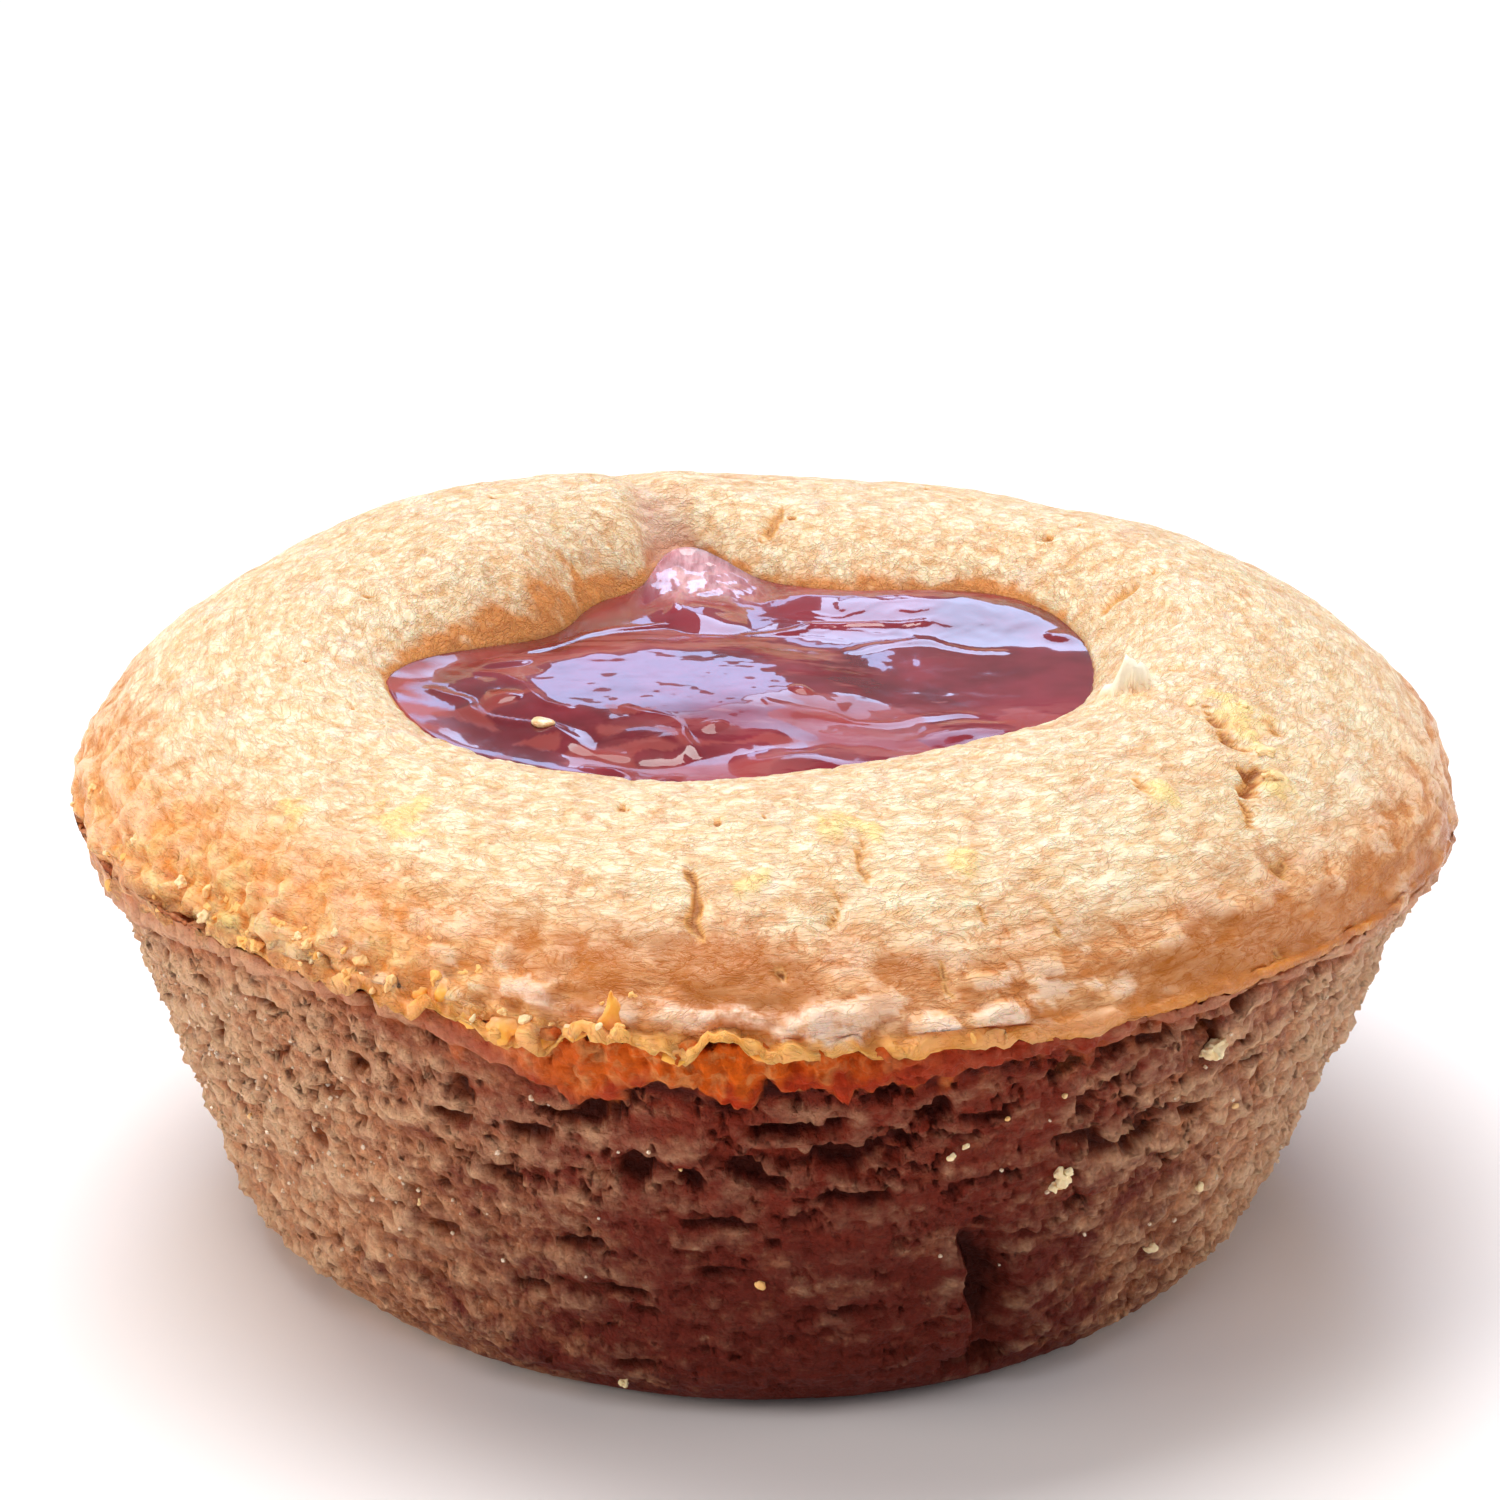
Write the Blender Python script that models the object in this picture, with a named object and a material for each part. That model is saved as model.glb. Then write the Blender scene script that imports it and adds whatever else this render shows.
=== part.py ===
"""A thumbprint cookie that was baked in a muffin cup: a tapered cup of crumbly dough with a puffed
ring on top, and a pool of jam pressed into its middle.

Metres, +Z up. The origin is the middle of the flat underside, and the ring's most cracked side
faces -Y. Angles are measured round +Z from +X, in degrees.
"""

import math
import random

import bmesh
import bpy
from mathutils import Vector, noise

MM = 0.001

# Driving dimensions, in millimetres.
RIM_RADIUS = 32.5
RIM_HEIGHT = 21.0
BASE_RADIUS = 27.1
BASE_CORNER = 4.9
CREST_RADIUS = 21.1
CREST_RISE = 8.1
DOME_POWER = 1.75
POOL_RADIUS = 16.0
POOL_LEVEL = 26.2
WELL_DEPTH = 8.0
JAM_GAP = 0.35

# How the round shapes are uneven: (size in millimetres, lobes, direction of the first lobe).
RIM_WAVES = ((0.23, 1, -8), (0.42, 2, -19), (0.40, 3, 63), (0.29, 4, -2))
CREST_WAVES = ((1.10, 1, 72), (0.80, 2, -36), (0.50, 3, 24))
BASE_WAVES = ((0.16, 1, 180), (0.28, 2, 60), (0.31, 3, 45))
POOL_WAVES = ((0.8, 1, 200), (1.0, 2, 8))

# Where the dough bulges into the pool or draws back from it: (angle, half width, reach in millimetres).
POOL_BULGES = ((150, 46, -3.4), (72, 34, -2.2), (104, 13, 2.2), (30, 40, 0.7))
# Where the jam has crept up the dough: (angle, half width, climb in millimetres).
JAM_CREEPS = ((104, 20, 1.3), (188, 34, 0.7), (40, 40, 0.3))
# Where the edge of the crust hangs lower: (angle, half width, drop in millimetres).
LIP_DROOPS = ((-91, 9, 1.8), (-79, 9, 1.0), (-64, 22, 0.5), (-164, 28, 2.6), (20, 34, 1.0), (120, 30, 1.4))

# Hollows in the wall: (angle, height, half width, half height, depth), in millimetres past the angle.
WALL_HOLLOWS = (
    (-85.5, 16.7, 3.4, 0.9, 1.5),
    (-82.5, 15.0, 3.0, 1.1, 1.3),
    (-76.5, 17.4, 1.6, 0.9, 1.3),
    (-61.0, 14.2, 4.2, 1.1, 1.3),
    (-51.5, 14.0, 2.4, 1.0, 1.1),
    (-53.5, 18.8, 1.5, 0.9, 1.4),
    (-102.5, 17.2, 2.0, 1.2, 1.5),
    (-101.0, 14.1, 1.6, 1.1, 1.1),
    (-94.0, 13.8, 2.2, 1.0, 1.0),
    (-71.8, 8.2, 1.9, 3.6, 2.6),
    (-69.4, 1.9, 2.6, 2.4, 2.4),
    (-106.0, 9.8, 2.2, 0.9, 0.9),
    (-126.0, 16.4, 1.6, 1.3, 1.0),
    (-116.0, 12.8, 2.4, 1.0, 0.9),
    (-88.5, 11.6, 3.6, 0.9, 1.0),
)
RANDOM_HOLLOWS = 30
HOLLOW_SEED = 11

# Splits in the ring's skin: (angle, radius, angle at the other end, radius there, half width, depth).
RING_SPLITS = (
    (-96.5, 27.6, -94.6, 30.6, 0.9, 0.7),
    (-81.6, 25.6, -85.0, 30.6, 0.8, 0.5),
    (-34.5, 25.4, -45.5, 29.8, 1.2, 0.8),
    (87.5, 18.8, 95.5, 16.4, 0.9, 0.5),
    (21.5, 18.0, 17.5, 18.9, 1.1, 0.7),
)
CREASE = (106.5, 15.0, 109.0, 24.0, 2.2, 0.9)

SECTORS = 140
JAM_SECTORS = 70
CORNER_ROWS = 4
CORNER_SWEEP = 72
WALL_ROWS = 12
DOME_ROWS = 12
SLOPE_ROWS = 6
BOWL_ANGLES = (10, 24, 42, 62, 80)
JAM_TOP_SHARES = (0.06, 0.22, 0.4, 0.57, 0.73, 0.87, 0.96, 1.0)

CRAG_SIZE = 3.4
CRAG_DEPTH = 0.42
WALL_PROUD = 0.14
LIP_TOOTH = 2.6
LIP_REACH = 0.5
LIP_PROUD = 0.3
LIP_UNDERCUT = 0.35
DIMPLE_SIZE = 9.0
DIMPLE_DEPTH = 0.35
JAM_LUMP_SIZE = 5.0
JAM_LUMP_HEIGHT = 0.5


def clear_scene():
    for found in list(bpy.data.objects):
        bpy.data.objects.remove(found)


def waves(parts, angle):
    """The sum of a few slow waves round the cookie."""
    return sum(size * math.cos(math.radians(lobes * (angle - first))) for size, lobes, first in parts)


def turned(angle, centre):
    """The signed turn from centre to angle, from -180 to 180 degrees."""
    return (angle - centre + 180) % 360 - 180


def swell(distance, half_width):
    """A smooth bump, 1 at the middle and 0 from half_width on."""
    share = abs(distance) / half_width
    return 0.5 + 0.5 * math.cos(math.pi * share) if share < 1 else 0.0


def swells(parts, angle):
    return sum(size * swell(turned(angle, centre), half_width) for centre, half_width, size in parts)


def smooth_step(value, low, high):
    share = min(max((value - low) / (high - low), 0.0), 1.0)
    return share * share * (3 - 2 * share)


def on_plan(angle, radius):
    return Vector((math.cos(math.radians(angle)), math.sin(math.radians(angle)))) * radius


def rim_radius(angle):
    return RIM_RADIUS + waves(RIM_WAVES, angle)


def base_radius(angle):
    return BASE_RADIUS + waves(BASE_WAVES, angle)


def cup_foot(angle):
    """(radius, height) where the rounded corner of the base meets the baking cup's leaning wall."""
    sweep = math.radians(CORNER_SWEEP)
    return base_radius(angle) - BASE_CORNER * (1 - math.sin(sweep)), BASE_CORNER * (1 - math.cos(sweep))


def cup_radius(angle, height):
    """The radius of the baking cup's leaning wall."""
    low_radius, low = cup_foot(angle)
    return low_radius + (rim_radius(angle) - low_radius) * (height - low) / (RIM_HEIGHT - low)


def crest(angle):
    """(radius, height) of the ring's highest line."""
    return CREST_RADIUS * rim_radius(angle) / RIM_RADIUS, RIM_HEIGHT + CREST_RISE + waves(CREST_WAVES, angle)


def pool_radius(angle):
    return POOL_RADIUS + waves(POOL_WAVES, angle) + swells(POOL_BULGES, angle)


def pool_edge(angle):
    return POOL_LEVEL + swells(JAM_CREEPS, angle)


def lip_height(angle):
    """The ragged lower edge of the crust, where the dough stood proud of the baking cup."""
    tooth = noise.noise(Vector((*on_plan(angle, RIM_RADIUS / LIP_TOOTH), 3.0)))
    return RIM_HEIGHT - 0.35 - swells(LIP_DROOPS, angle) + LIP_REACH * tooth


def wall_hollows():
    """The named hollows, and others like them scattered over the sides that they don't reach."""
    draw = random.Random(HOLLOW_SEED)
    hollows = list(WALL_HOLLOWS)
    for _ in range(RANDOM_HOLLOWS):
        angle = draw.uniform(-35, 215)
        height = draw.uniform(3.0, 17.5)
        hollows.append((angle, height, draw.uniform(1.4, 3.6), draw.uniform(0.9, 1.5), draw.uniform(0.7, 1.5)))
    return hollows


HOLLOWS = wall_hollows()


def hollow_depth(angle, height, radius):
    """How deep the wall is hollowed at a place, where the deepest hollow there wins."""
    ragged = 0.45 * noise.noise(Vector((*on_plan(angle, radius / 1.9), height / 1.1)))
    deepest = 0.0
    for centre, level, half_width, half_height, depth in HOLLOWS:
        along = math.radians(turned(angle, centre)) * radius / half_width
        across = (height - level) / half_height
        reach = math.hypot(along, across) + ragged
        deepest = max(deepest, depth * (1 - smooth_step(reach, 0.55, 1.15)))
    return deepest


def split_depth(place):
    """How deep the ring's skin is split at a place on plan."""
    deepest = 0.0
    for first, inner, last, outer, half_width, depth in (*RING_SPLITS, CREASE):
        start = on_plan(first, inner)
        run = on_plan(last, outer) - start
        share = min(max((place - start).dot(run) / run.length_squared, 0.0), 1.0)
        away = (place - start - run * share).length
        deepest = max(deepest, depth * swell(away, half_width))
    return deepest


def crags(angle, radius, height):
    """The crumb's broken surface on the wall, always cut inwards from the baking cup's smooth face."""
    place = Vector((*on_plan(angle, radius), height * 1.7)) / CRAG_SIZE
    return CRAG_DEPTH * max(0.0, 0.35 - noise.fractal(place, 0.8, 2.0, 3))


def dimples(place, height):
    spot = Vector((*place, height)) / DIMPLE_SIZE
    return DIMPLE_DEPTH * noise.noise(spot)


def base_rows(angle):
    """(radius, height) from the edge of the flat underside, round the corner to the wall."""
    foot = base_radius(angle) - BASE_CORNER
    rows = []
    for row in range(CORNER_ROWS):
        sweep = math.radians(CORNER_SWEEP * row / (CORNER_ROWS - 1))
        radius = foot + BASE_CORNER * math.sin(sweep)
        height = BASE_CORNER * (1 - math.cos(sweep))
        cut = hollow_depth(angle, height, radius) if row else 0.0
        rows.append((radius - cut, height))
    return rows


def wall_rows(angle):
    """(radius, height) up the crumbly wall, which leans out as the baking cup does."""
    low = cup_foot(angle)[1]
    high = lip_height(angle) - 1.1
    rows = []
    for row in range(1, WALL_ROWS + 1):
        share = row / WALL_ROWS
        height = low + (high - low) * share
        radius = cup_radius(angle, height) + WALL_PROUD
        cut = LIP_UNDERCUT * smooth_step(share, 0.8, 1.0) + crags(angle, radius, height)
        rows.append((radius - cut - hollow_depth(angle, height, radius), height))
    return rows


def lip_rows(angle):
    """(radius, height) round the thin edge of the crust, which stands proud of the wall."""
    height = lip_height(angle)
    bite = LIP_REACH * noise.noise(Vector((*on_plan(angle, RIM_RADIUS / LIP_TOOTH), 9.0)))
    return [
        (cup_radius(angle, height) - 0.15, height - 0.5),
        (cup_radius(angle, height) + LIP_PROUD + 0.5 * bite, height + 0.1),
        (rim_radius(angle) - 0.05 + 0.2 * bite, RIM_HEIGHT + 0.2),
    ]


def dome_rows(angle):
    """(radius, height) up the puffed ring, from above the lip to its crest."""
    top_radius, top = crest(angle)
    edge = rim_radius(angle)
    rows = []
    for row in range(1, DOME_ROWS + 1):
        turn = math.radians(90 * row / DOME_ROWS)
        radius = top_radius + (edge - top_radius) * math.cos(turn) ** (2 / DOME_POWER)
        height = RIM_HEIGHT + (top - RIM_HEIGHT) * math.sin(turn) ** (2 / DOME_POWER)
        rows.append((radius, height))
    return rows


def slope_rows(angle):
    """(radius, height) from the crest down to the edge of the pool, steepest at the jam."""
    top_radius, top = crest(angle)
    width = top_radius - pool_radius(angle)
    steepness = 2.1 + 0.3 * max(0.0, width - 5)
    rows = []
    for row in range(1, SLOPE_ROWS + 1):
        share = (row / SLOPE_ROWS) ** 0.8
        rows.append((top_radius - width * share, top - (top - pool_edge(angle)) * share**steepness))
    return rows


def bowl_rows(angle, inset=0.0, lift=0.0):
    """(radius, height) down the pressed well, from just under the pool's edge to its middle."""
    rows = []
    for turn in map(math.radians, BOWL_ANGLES):
        edge = pool_edge(angle) + (POOL_LEVEL - pool_edge(angle)) * math.sin(turn)
        rows.append((pool_radius(angle) * math.cos(turn) * (1 - inset), edge - WELL_DEPTH * math.sin(turn) + lift))
    return rows


def placed(angle, radius, height):
    return Vector((*on_plan(angle, radius), height)) * MM


def skin_point(angle, radius, height):
    """A point of the ring's skin, sunk where the skin is split and gently dimpled elsewhere."""
    place = on_plan(angle, radius)
    return placed(angle, radius, height - split_depth(place) + dimples(place, height))


def sections(count):
    return [360 * sector / count for sector in range(count)]


def loft(name, columns, material):
    """A closed solid from columns of points, bottom row first: a ring for each row, each bridged to
    the next, and the first and last filled."""
    mesh = bmesh.new()
    rings = []
    for row in zip(*columns):
        ring = bmesh.ops.create_circle(mesh, segments=len(row), radius=1)["verts"]
        for vertex, point in zip(ring, row):
            vertex.co = point
        rings.append({edge for vertex in ring for edge in vertex.link_edges})
    for below, above in zip(rings, rings[1:]):
        bmesh.ops.bridge_loops(mesh, edges=[*below, *above])
    for end in (rings[0], rings[-1]):
        bmesh.ops.contextual_create(mesh, geom=list(end))
    bmesh.ops.recalc_face_normals(mesh, faces=mesh.faces)
    data = bpy.data.meshes.new(name)
    mesh.to_mesh(data)
    mesh.free()
    data.materials.append(material)
    data.shade_smooth()
    made = bpy.data.objects.new(name, data)
    bpy.context.scene.collection.objects.link(made)
    return made


def plain_material(name, colour, roughness):
    material = bpy.data.materials.new(name)
    material.use_nodes = True
    shader = material.node_tree.nodes["Principled BSDF"]
    shader.inputs["Base Color"].default_value = (*colour, 1)
    shader.inputs["Roughness"].default_value = roughness
    shader.inputs["Metallic"].default_value = 0
    return material


def make_cookie(material):
    """The dough, one piece from its flat underside to the bottom of the well."""
    columns = []
    for angle in sections(SECTORS):
        outside = base_rows(angle) + wall_rows(angle) + lip_rows(angle)
        ring = dome_rows(angle) + slope_rows(angle)
        column = [placed(angle, *row) for row in outside]
        column += [skin_point(angle, *row) for row in ring[:-1]]
        column += [placed(angle, *row) for row in ring[-1:] + bowl_rows(angle)]
        columns.append(column)
    return loft("cookie", columns, material)


def jam_top(angle, share):
    """The lumpy surface of the jam, which climbs a little where it has crept up the dough."""
    radius = (pool_radius(angle) - JAM_GAP) * share
    place = on_plan(angle, radius)
    lump = JAM_LUMP_HEIGHT * noise.noise(Vector((*place, 5.0)) / JAM_LUMP_SIZE)
    climb = (pool_edge(angle) - POOL_LEVEL) * share**6
    return placed(angle, radius, POOL_LEVEL + climb + lump * (1 - share**8))


def make_jam(material):
    """The jam, one piece from the bottom of the well to the level where it set."""
    columns = []
    for angle in sections(JAM_SECTORS):
        inset = JAM_GAP / pool_radius(angle)
        under = [placed(angle, *row) for row in reversed(bowl_rows(angle, inset, JAM_GAP))]
        columns.append(under + [jam_top(angle, share) for share in reversed(JAM_TOP_SHARES)])
    return loft("jam", columns, material)


def centre_on_plan(objects, guide):
    """Moves the pieces together so that the middle of guide's box stands on the origin."""
    points = [vertex.co for vertex in guide.data.vertices]
    for axis in (0, 1):
        middle = (min(point[axis] for point in points) + max(point[axis] for point in points)) / 2
        for made in objects:
            made.location[axis] = -middle


def main():
    clear_scene()
    cookie = make_cookie(plain_material("baked_dough", (0.78, 0.56, 0.33), 0.7))
    jam = make_jam(plain_material("fruit_jam", (0.36, 0.06, 0.07), 0.12))
    centre_on_plan((cookie, jam), cookie)


main()
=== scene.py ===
import contextlib
import math

import bpy
import numpy as np
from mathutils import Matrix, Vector, noise


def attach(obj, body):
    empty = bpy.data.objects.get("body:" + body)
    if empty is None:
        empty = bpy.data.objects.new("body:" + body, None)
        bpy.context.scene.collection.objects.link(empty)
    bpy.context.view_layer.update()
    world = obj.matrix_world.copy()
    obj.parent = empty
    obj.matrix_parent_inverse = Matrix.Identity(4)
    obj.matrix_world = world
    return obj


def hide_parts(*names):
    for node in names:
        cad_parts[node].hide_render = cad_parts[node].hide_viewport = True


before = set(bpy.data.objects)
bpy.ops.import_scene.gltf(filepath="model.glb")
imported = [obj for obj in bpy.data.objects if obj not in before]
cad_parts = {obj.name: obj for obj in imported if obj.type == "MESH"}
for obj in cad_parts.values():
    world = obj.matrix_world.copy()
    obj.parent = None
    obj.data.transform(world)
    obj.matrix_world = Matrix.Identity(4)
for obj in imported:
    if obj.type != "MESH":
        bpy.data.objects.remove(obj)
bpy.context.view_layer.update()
for loaded in bpy.context.selected_objects:
    loaded.select_set(False)

MM = 0.001

# --- Crumb side and underside -----------------------------------------------------------------
# The short, crumbly dough that was pressed into a greased muffin cup. It kept the cup's leaning
# wall, and where the crumbs didn't fill the cup it is pitted, split into ledges and torn open.

AXIS = (0.108, -0.168)
RIM_RADIUS = 32.5
RIM_HEIGHT = 21.0
BASE_RADIUS = 27.1
BASE_CORNER = 4.9
CORNER_SWEEP = 72
MIDDLE_RADIUS = 27
WALL_TOP = RIM_HEIGHT + 0.4
TUCK_STEP = 1.2
RIM_WAVES = ((0.23, 1, -8), (0.42, 2, -19), (0.4, 3, 63), (0.29, 4, -2))
BASE_WAVES = ((0.16, 1, 180), (0.28, 2, 60), (0.31, 3, 45))
# (angle, height) along the orange band's lower edge.
BAND_EDGE = (
    (-180, 19.0), (-164, 18.3), (-140, 20.2), (-125, 20.4), (-114, 19.9), (-109.9, 18.9), (-106.7, 18.1),
    (-103.6, 17.5), (-101, 18.6), (-98.5, 19.3), (-94.9, 18.5), (-91.5, 17.9), (-90.1, 19.2), (-85, 19.0),
    (-81.2, 19.0), (-76, 19.6), (-72.6, 20.1), (-60.6, 20.5), (-48.4, 20.8), (-30, 20.6), (0, 20.0),
    (20, 19.6), (60, 20.3), (90, 19.9), (120, 19.2), (150, 19.8),
)

CRUMB_COLUMNS = 720
FRONT_CROWDING = 20.0
UNDERSIDE_ROWS = 6
CORNER_ROWS = 28
WALL_ROWS = 95
TUCK_ROWS = 3
CRUMB_OUTER = slice(UNDERSIDE_ROWS, UNDERSIDE_ROWS + CORNER_ROWS + WALL_ROWS)

# (angle, height, half width, half height, depth) of each torn hollow: millimetres, past the angle.
HOLLOWS = (
    (-87.5, 16.7, 2.3, 0.55, 1.1), (-83.5, 15.0, 2.2, 0.9, 1.2), (-80.0, 15.9, 1.3, 0.5, 1.0),
    (-76.4, 17.4, 1.1, 0.6, 1.0), (-72.5, 16.9, 1.6, 0.3, 0.8), (-64.0, 14.6, 2.0, 0.4, 0.8),
    (-58.6, 13.5, 2.1, 0.55, 0.9), (-56.5, 14.6, 0.9, 0.8, 0.9), (-51.0, 14.0, 1.2, 0.6, 0.8),
    (-47.0, 15.6, 1.8, 0.35, 0.8), (-53.0, 18.8, 1.4, 0.5, 1.1), (-50.0, 19.6, 0.5, 0.8, 1.0),
    (-60.5, 19.2, 1.7, 0.4, 1.0), (-57.6, 19.9, 0.35, 0.9, 1.0), (-63.6, 16.5, 0.5, 0.9, 0.7),
    (-102.6, 17.0, 1.2, 0.9, 1.1), (-104.5, 16.4, 1.6, 0.4, 0.9), (-101.0, 14.2, 1.1, 0.7, 1.0),
    (-96.0, 13.9, 0.9, 0.6, 0.9), (-91.5, 14.3, 0.9, 0.6, 1.0), (-89.0, 13.8, 1.0, 0.4, 0.8),
    (-83.0, 12.8, 2.2, 0.3, 0.8), (-93.0, 11.4, 2.2, 0.28, 0.7), (-106.0, 9.7, 1.2, 0.4, 0.8),
    (-103.0, 7.2, 1.3, 0.3, 0.7), (-111.0, 6.7, 1.0, 0.35, 0.7), (-93.0, 8.7, 1.4, 0.3, 0.6),
    (-101.0, 6.1, 0.9, 0.25, 0.6), (-83.0, 6.6, 1.5, 0.3, 0.6), (-126.0, 16.6, 0.8, 0.6, 0.9),
    (-135.0, 11.2, 0.7, 0.7, 0.7), (-117.0, 15.3, 1.1, 0.35, 0.8), (-120.0, 8.6, 1.2, 0.3, 0.6),
    (-103.0, 2.9, 1.4, 0.3, 0.6), (-109.5, 15.2, 1.0, 0.5, 0.8), (-113.0, 12.6, 1.2, 0.45, 0.8),
    (-68.9, 1.7, 2.0, 0.7, 1.8), (-66.5, 9.5, 1.2, 0.3, 0.6), (-62.0, 10.8, 0.9, 0.3, 0.6),
)
# (height, angle) along the left edge of the steep crease near the front, from its foot up.
CREASE_HEIGHTS = (1.0, 2.6, 4.4, 6.4, 8.8, 10.8)
CREASE_ANGLES = (-69.8, -69.4, -70.2, -71.2, -72.6, -73.6)
CREASE_DEEP = 1.7
# (angle, half width, share) of the stretches of the side painted paler, as painted light where light falls on
# them; the front between them is left darker, as painted shade.
PALE_FLANKS = ((-170, 80, 1.75), (-13, 62, 1.6), (90, 90, 1.0))
CRUMB_RED = (0.115, 0.013, 0.007, 1)
CRUMB_BROWN = (0.19, 0.022, 0.011, 1)
CRUMB_WARM = (0.32, 0.036, 0.014, 1)
CRUMB_TAN = (0.84, 0.36, 0.165, 1)
CRUMB_PALE = (1.0, 0.64, 0.38, 1)
CRUMB_DARK = (0.06, 0.008, 0.004, 1)
HOLLOW_WARM = (0.34, 0.08, 0.016, 1)
BAND_ORANGE = (0.72, 0.12, 0.003, 1)
BAND_TAN = (0.78, 0.33, 0.1, 1)
BAND_RED = (0.46, 0.032, 0.002, 1)


def waves(parts, angle):
    return sum(size * np.cos(np.radians(lobes * (angle - first))) for size, lobes, first in parts)


def turned(angle, centre):
    return (angle - centre + 180) % 360 - 180


def swell(distance, half_width):
    return 0.5 + 0.5 * np.cos(np.pi * np.minimum(np.abs(distance) / half_width, 1))


def near(angle, centre, half_width):
    """1 at an angle round the cookie and 0 past half_width degrees from it."""
    return swell(turned(angle, centre), half_width)


def swells(parts, angle):
    return sum(size * near(angle, centre, half_width) for centre, half_width, size in parts)


def ease(value, low, high):
    share = np.clip((value - low) / (high - low), 0, 1)
    return share * share * (3 - 2 * share)


def speckle(places, size, octaves=3, seed=0, roughness=0.9):
    """Uneven dough: smooth noise of about a third either way, whose lumps are size millimetres."""
    scaled = (places / np.array(size) + seed * 7.31).reshape(-1, 3).tolist()
    values = [noise.fractal(place, roughness, 2.0, octaves) for place in scaled]
    return np.array(values).reshape(places.shape[:-1])


def granules(places, size, seed):
    """Crumbs packed together, size millimetres wide: 1 on a crumb and 0 in the creases between them."""
    scaled = (places / np.array(size) + seed * 5.17).reshape(-1, 3).tolist()
    gaps = [noise.voronoi(place)[0] for place in scaled]
    return np.array([ease(gap[1] - gap[0], 0.0, 0.38) for gap in gaps]).reshape(places.shape[:-1])


def bent(places, size, shift, seed):
    """Places pushed about by noise, so that a pattern on them runs unevenly."""
    pushes = [speckle(places, size, 2, seed + step) for step in range(3)]
    return places + np.array(shift) * np.stack(pushes, axis=-1)


def softened(field, times):
    """A height field with its steps rubbed down, as crumbs round off when they are handled."""
    for _ in range(times):
        field = (np.roll(field, 1, 1) + 2 * field + np.roll(field, -1, 1)) / 4
        inner = (field[:-2] + 2 * field[1:-1] + field[2:]) / 4
        field = np.concatenate((field[:1], inner, field[-1:]))
    return field


def crowded_angles(columns):
    """Angles round the cookie, closer together on the side with the cracks."""
    even = np.arange(columns) * 360 / columns
    return even - FRONT_CROWDING * np.cos(np.radians(even))


def round_points(angle, radius, height):
    turn = np.radians(angle) + 0 * radius
    across, back = AXIS[0] + radius * np.cos(turn), AXIS[1] + radius * np.sin(turn)
    return np.stack((across, back, height + 0 * radius), axis=-1)


def outward(points):
    along = np.roll(points, -1, axis=1) - np.roll(points, 1, axis=1)
    normal = np.cross(along, np.gradient(points, axis=0))
    return normal / np.maximum(np.linalg.norm(normal, axis=-1, keepdims=True), 1e-9)


@contextlib.contextmanager
def edit_mode(select):
    """The active object in edit mode, with all of it or nothing selected."""
    bpy.ops.object.mode_set(mode="EDIT")
    bpy.ops.mesh.select_all(action=select)
    yield
    bpy.ops.object.mode_set(mode="OBJECT")


def sleeve(name, points, closing):
    """An upright tube cut into rows, then drawn to its points, and closed by its ends."""
    rows, columns = points.shape[:2]
    bpy.ops.mesh.primitive_cylinder_add(
        vertices=columns, radius=1, depth=1, end_fill_type="NOTHING", location=(0, 0, 0.5),
    )
    piece = bpy.context.object
    piece.name = piece.data.name = name
    bpy.ops.object.transform_apply(location=True)
    with edit_mode("DESELECT"):
        bpy.ops.mesh.select_mode(type="EDGE")
    for edge in piece.data.edges:
        ends = [piece.data.vertices[index].co.z for index in edge.vertices]
        edge.select = abs(ends[0] - ends[1]) > 0.5
    bpy.ops.object.mode_set(mode="EDIT")
    bpy.ops.mesh.subdivide(number_cuts=rows - 2)
    bpy.ops.mesh.select_all(action="DESELECT")
    bpy.ops.object.mode_set(mode="OBJECT")
    data = piece.data
    flat = np.empty(len(data.vertices) * 3, dtype=np.float32)
    data.vertices.foreach_get("co", flat)
    flat = flat.reshape(-1, 3)
    column = np.rint(np.arctan2(flat[:, 1], flat[:, 0]) / (2 * np.pi) * columns).astype(int) % columns
    row = np.rint(flat[:, 2] * (rows - 1)).astype(int)
    data.vertices.foreach_set("co", (points[row, column] * MM).astype(np.float32).ravel())
    data.update()
    for edge in data.edges:
        edge.select = {row[index] for index in edge.vertices} in ({0}, {rows - 1})
    bpy.ops.object.mode_set(mode="EDIT")
    if closing == "bridge":
        bpy.ops.mesh.bridge_edge_loops()
    else:
        bpy.ops.mesh.edge_face_add()
    bpy.ops.object.mode_set(mode="OBJECT")
    with edit_mode("SELECT"):
        bpy.ops.mesh.normals_make_consistent(inside=False)
    bpy.ops.object.shade_smooth()
    piece.select_set(False)
    return piece, row, column


def note(piece, name, values):
    """Keeps a value for each point of the piece, for its material to read."""
    kept = piece.data.attributes.new(name, "FLOAT", "POINT")
    kept.data.foreach_set("value", np.asarray(values, dtype=np.float32))


def note_fields(sleeved, **fields):
    """Keeps each field, a value for each row and column, on the sleeve's points."""
    piece, row, column = sleeved
    for name, field in fields.items():
        note(piece, name, field[row, column])


def base_radius(angle):
    return BASE_RADIUS + waves(BASE_WAVES, angle)


def rim_radius(angle):
    return RIM_RADIUS + waves(RIM_WAVES, angle)


def cup_foot(angle):
    sweep = math.radians(CORNER_SWEEP)
    return base_radius(angle) - BASE_CORNER * (1 - math.sin(sweep)), BASE_CORNER * (1 - math.cos(sweep))


def cup_radius(angle, height):
    low_radius, low = cup_foot(angle)
    return low_radius + (rim_radius(angle) - low_radius) * (height - low) / (RIM_HEIGHT - low)


def along_edge(corners, angle):
    """The height of an edge that runs round the cookie through its corners."""
    return np.interp(angle, *np.transpose(corners), period=360)


def band_foot(angle):
    """The lower edge of the orange, half-baked band under the crust."""
    return along_edge(BAND_EDGE, angle)


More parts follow.
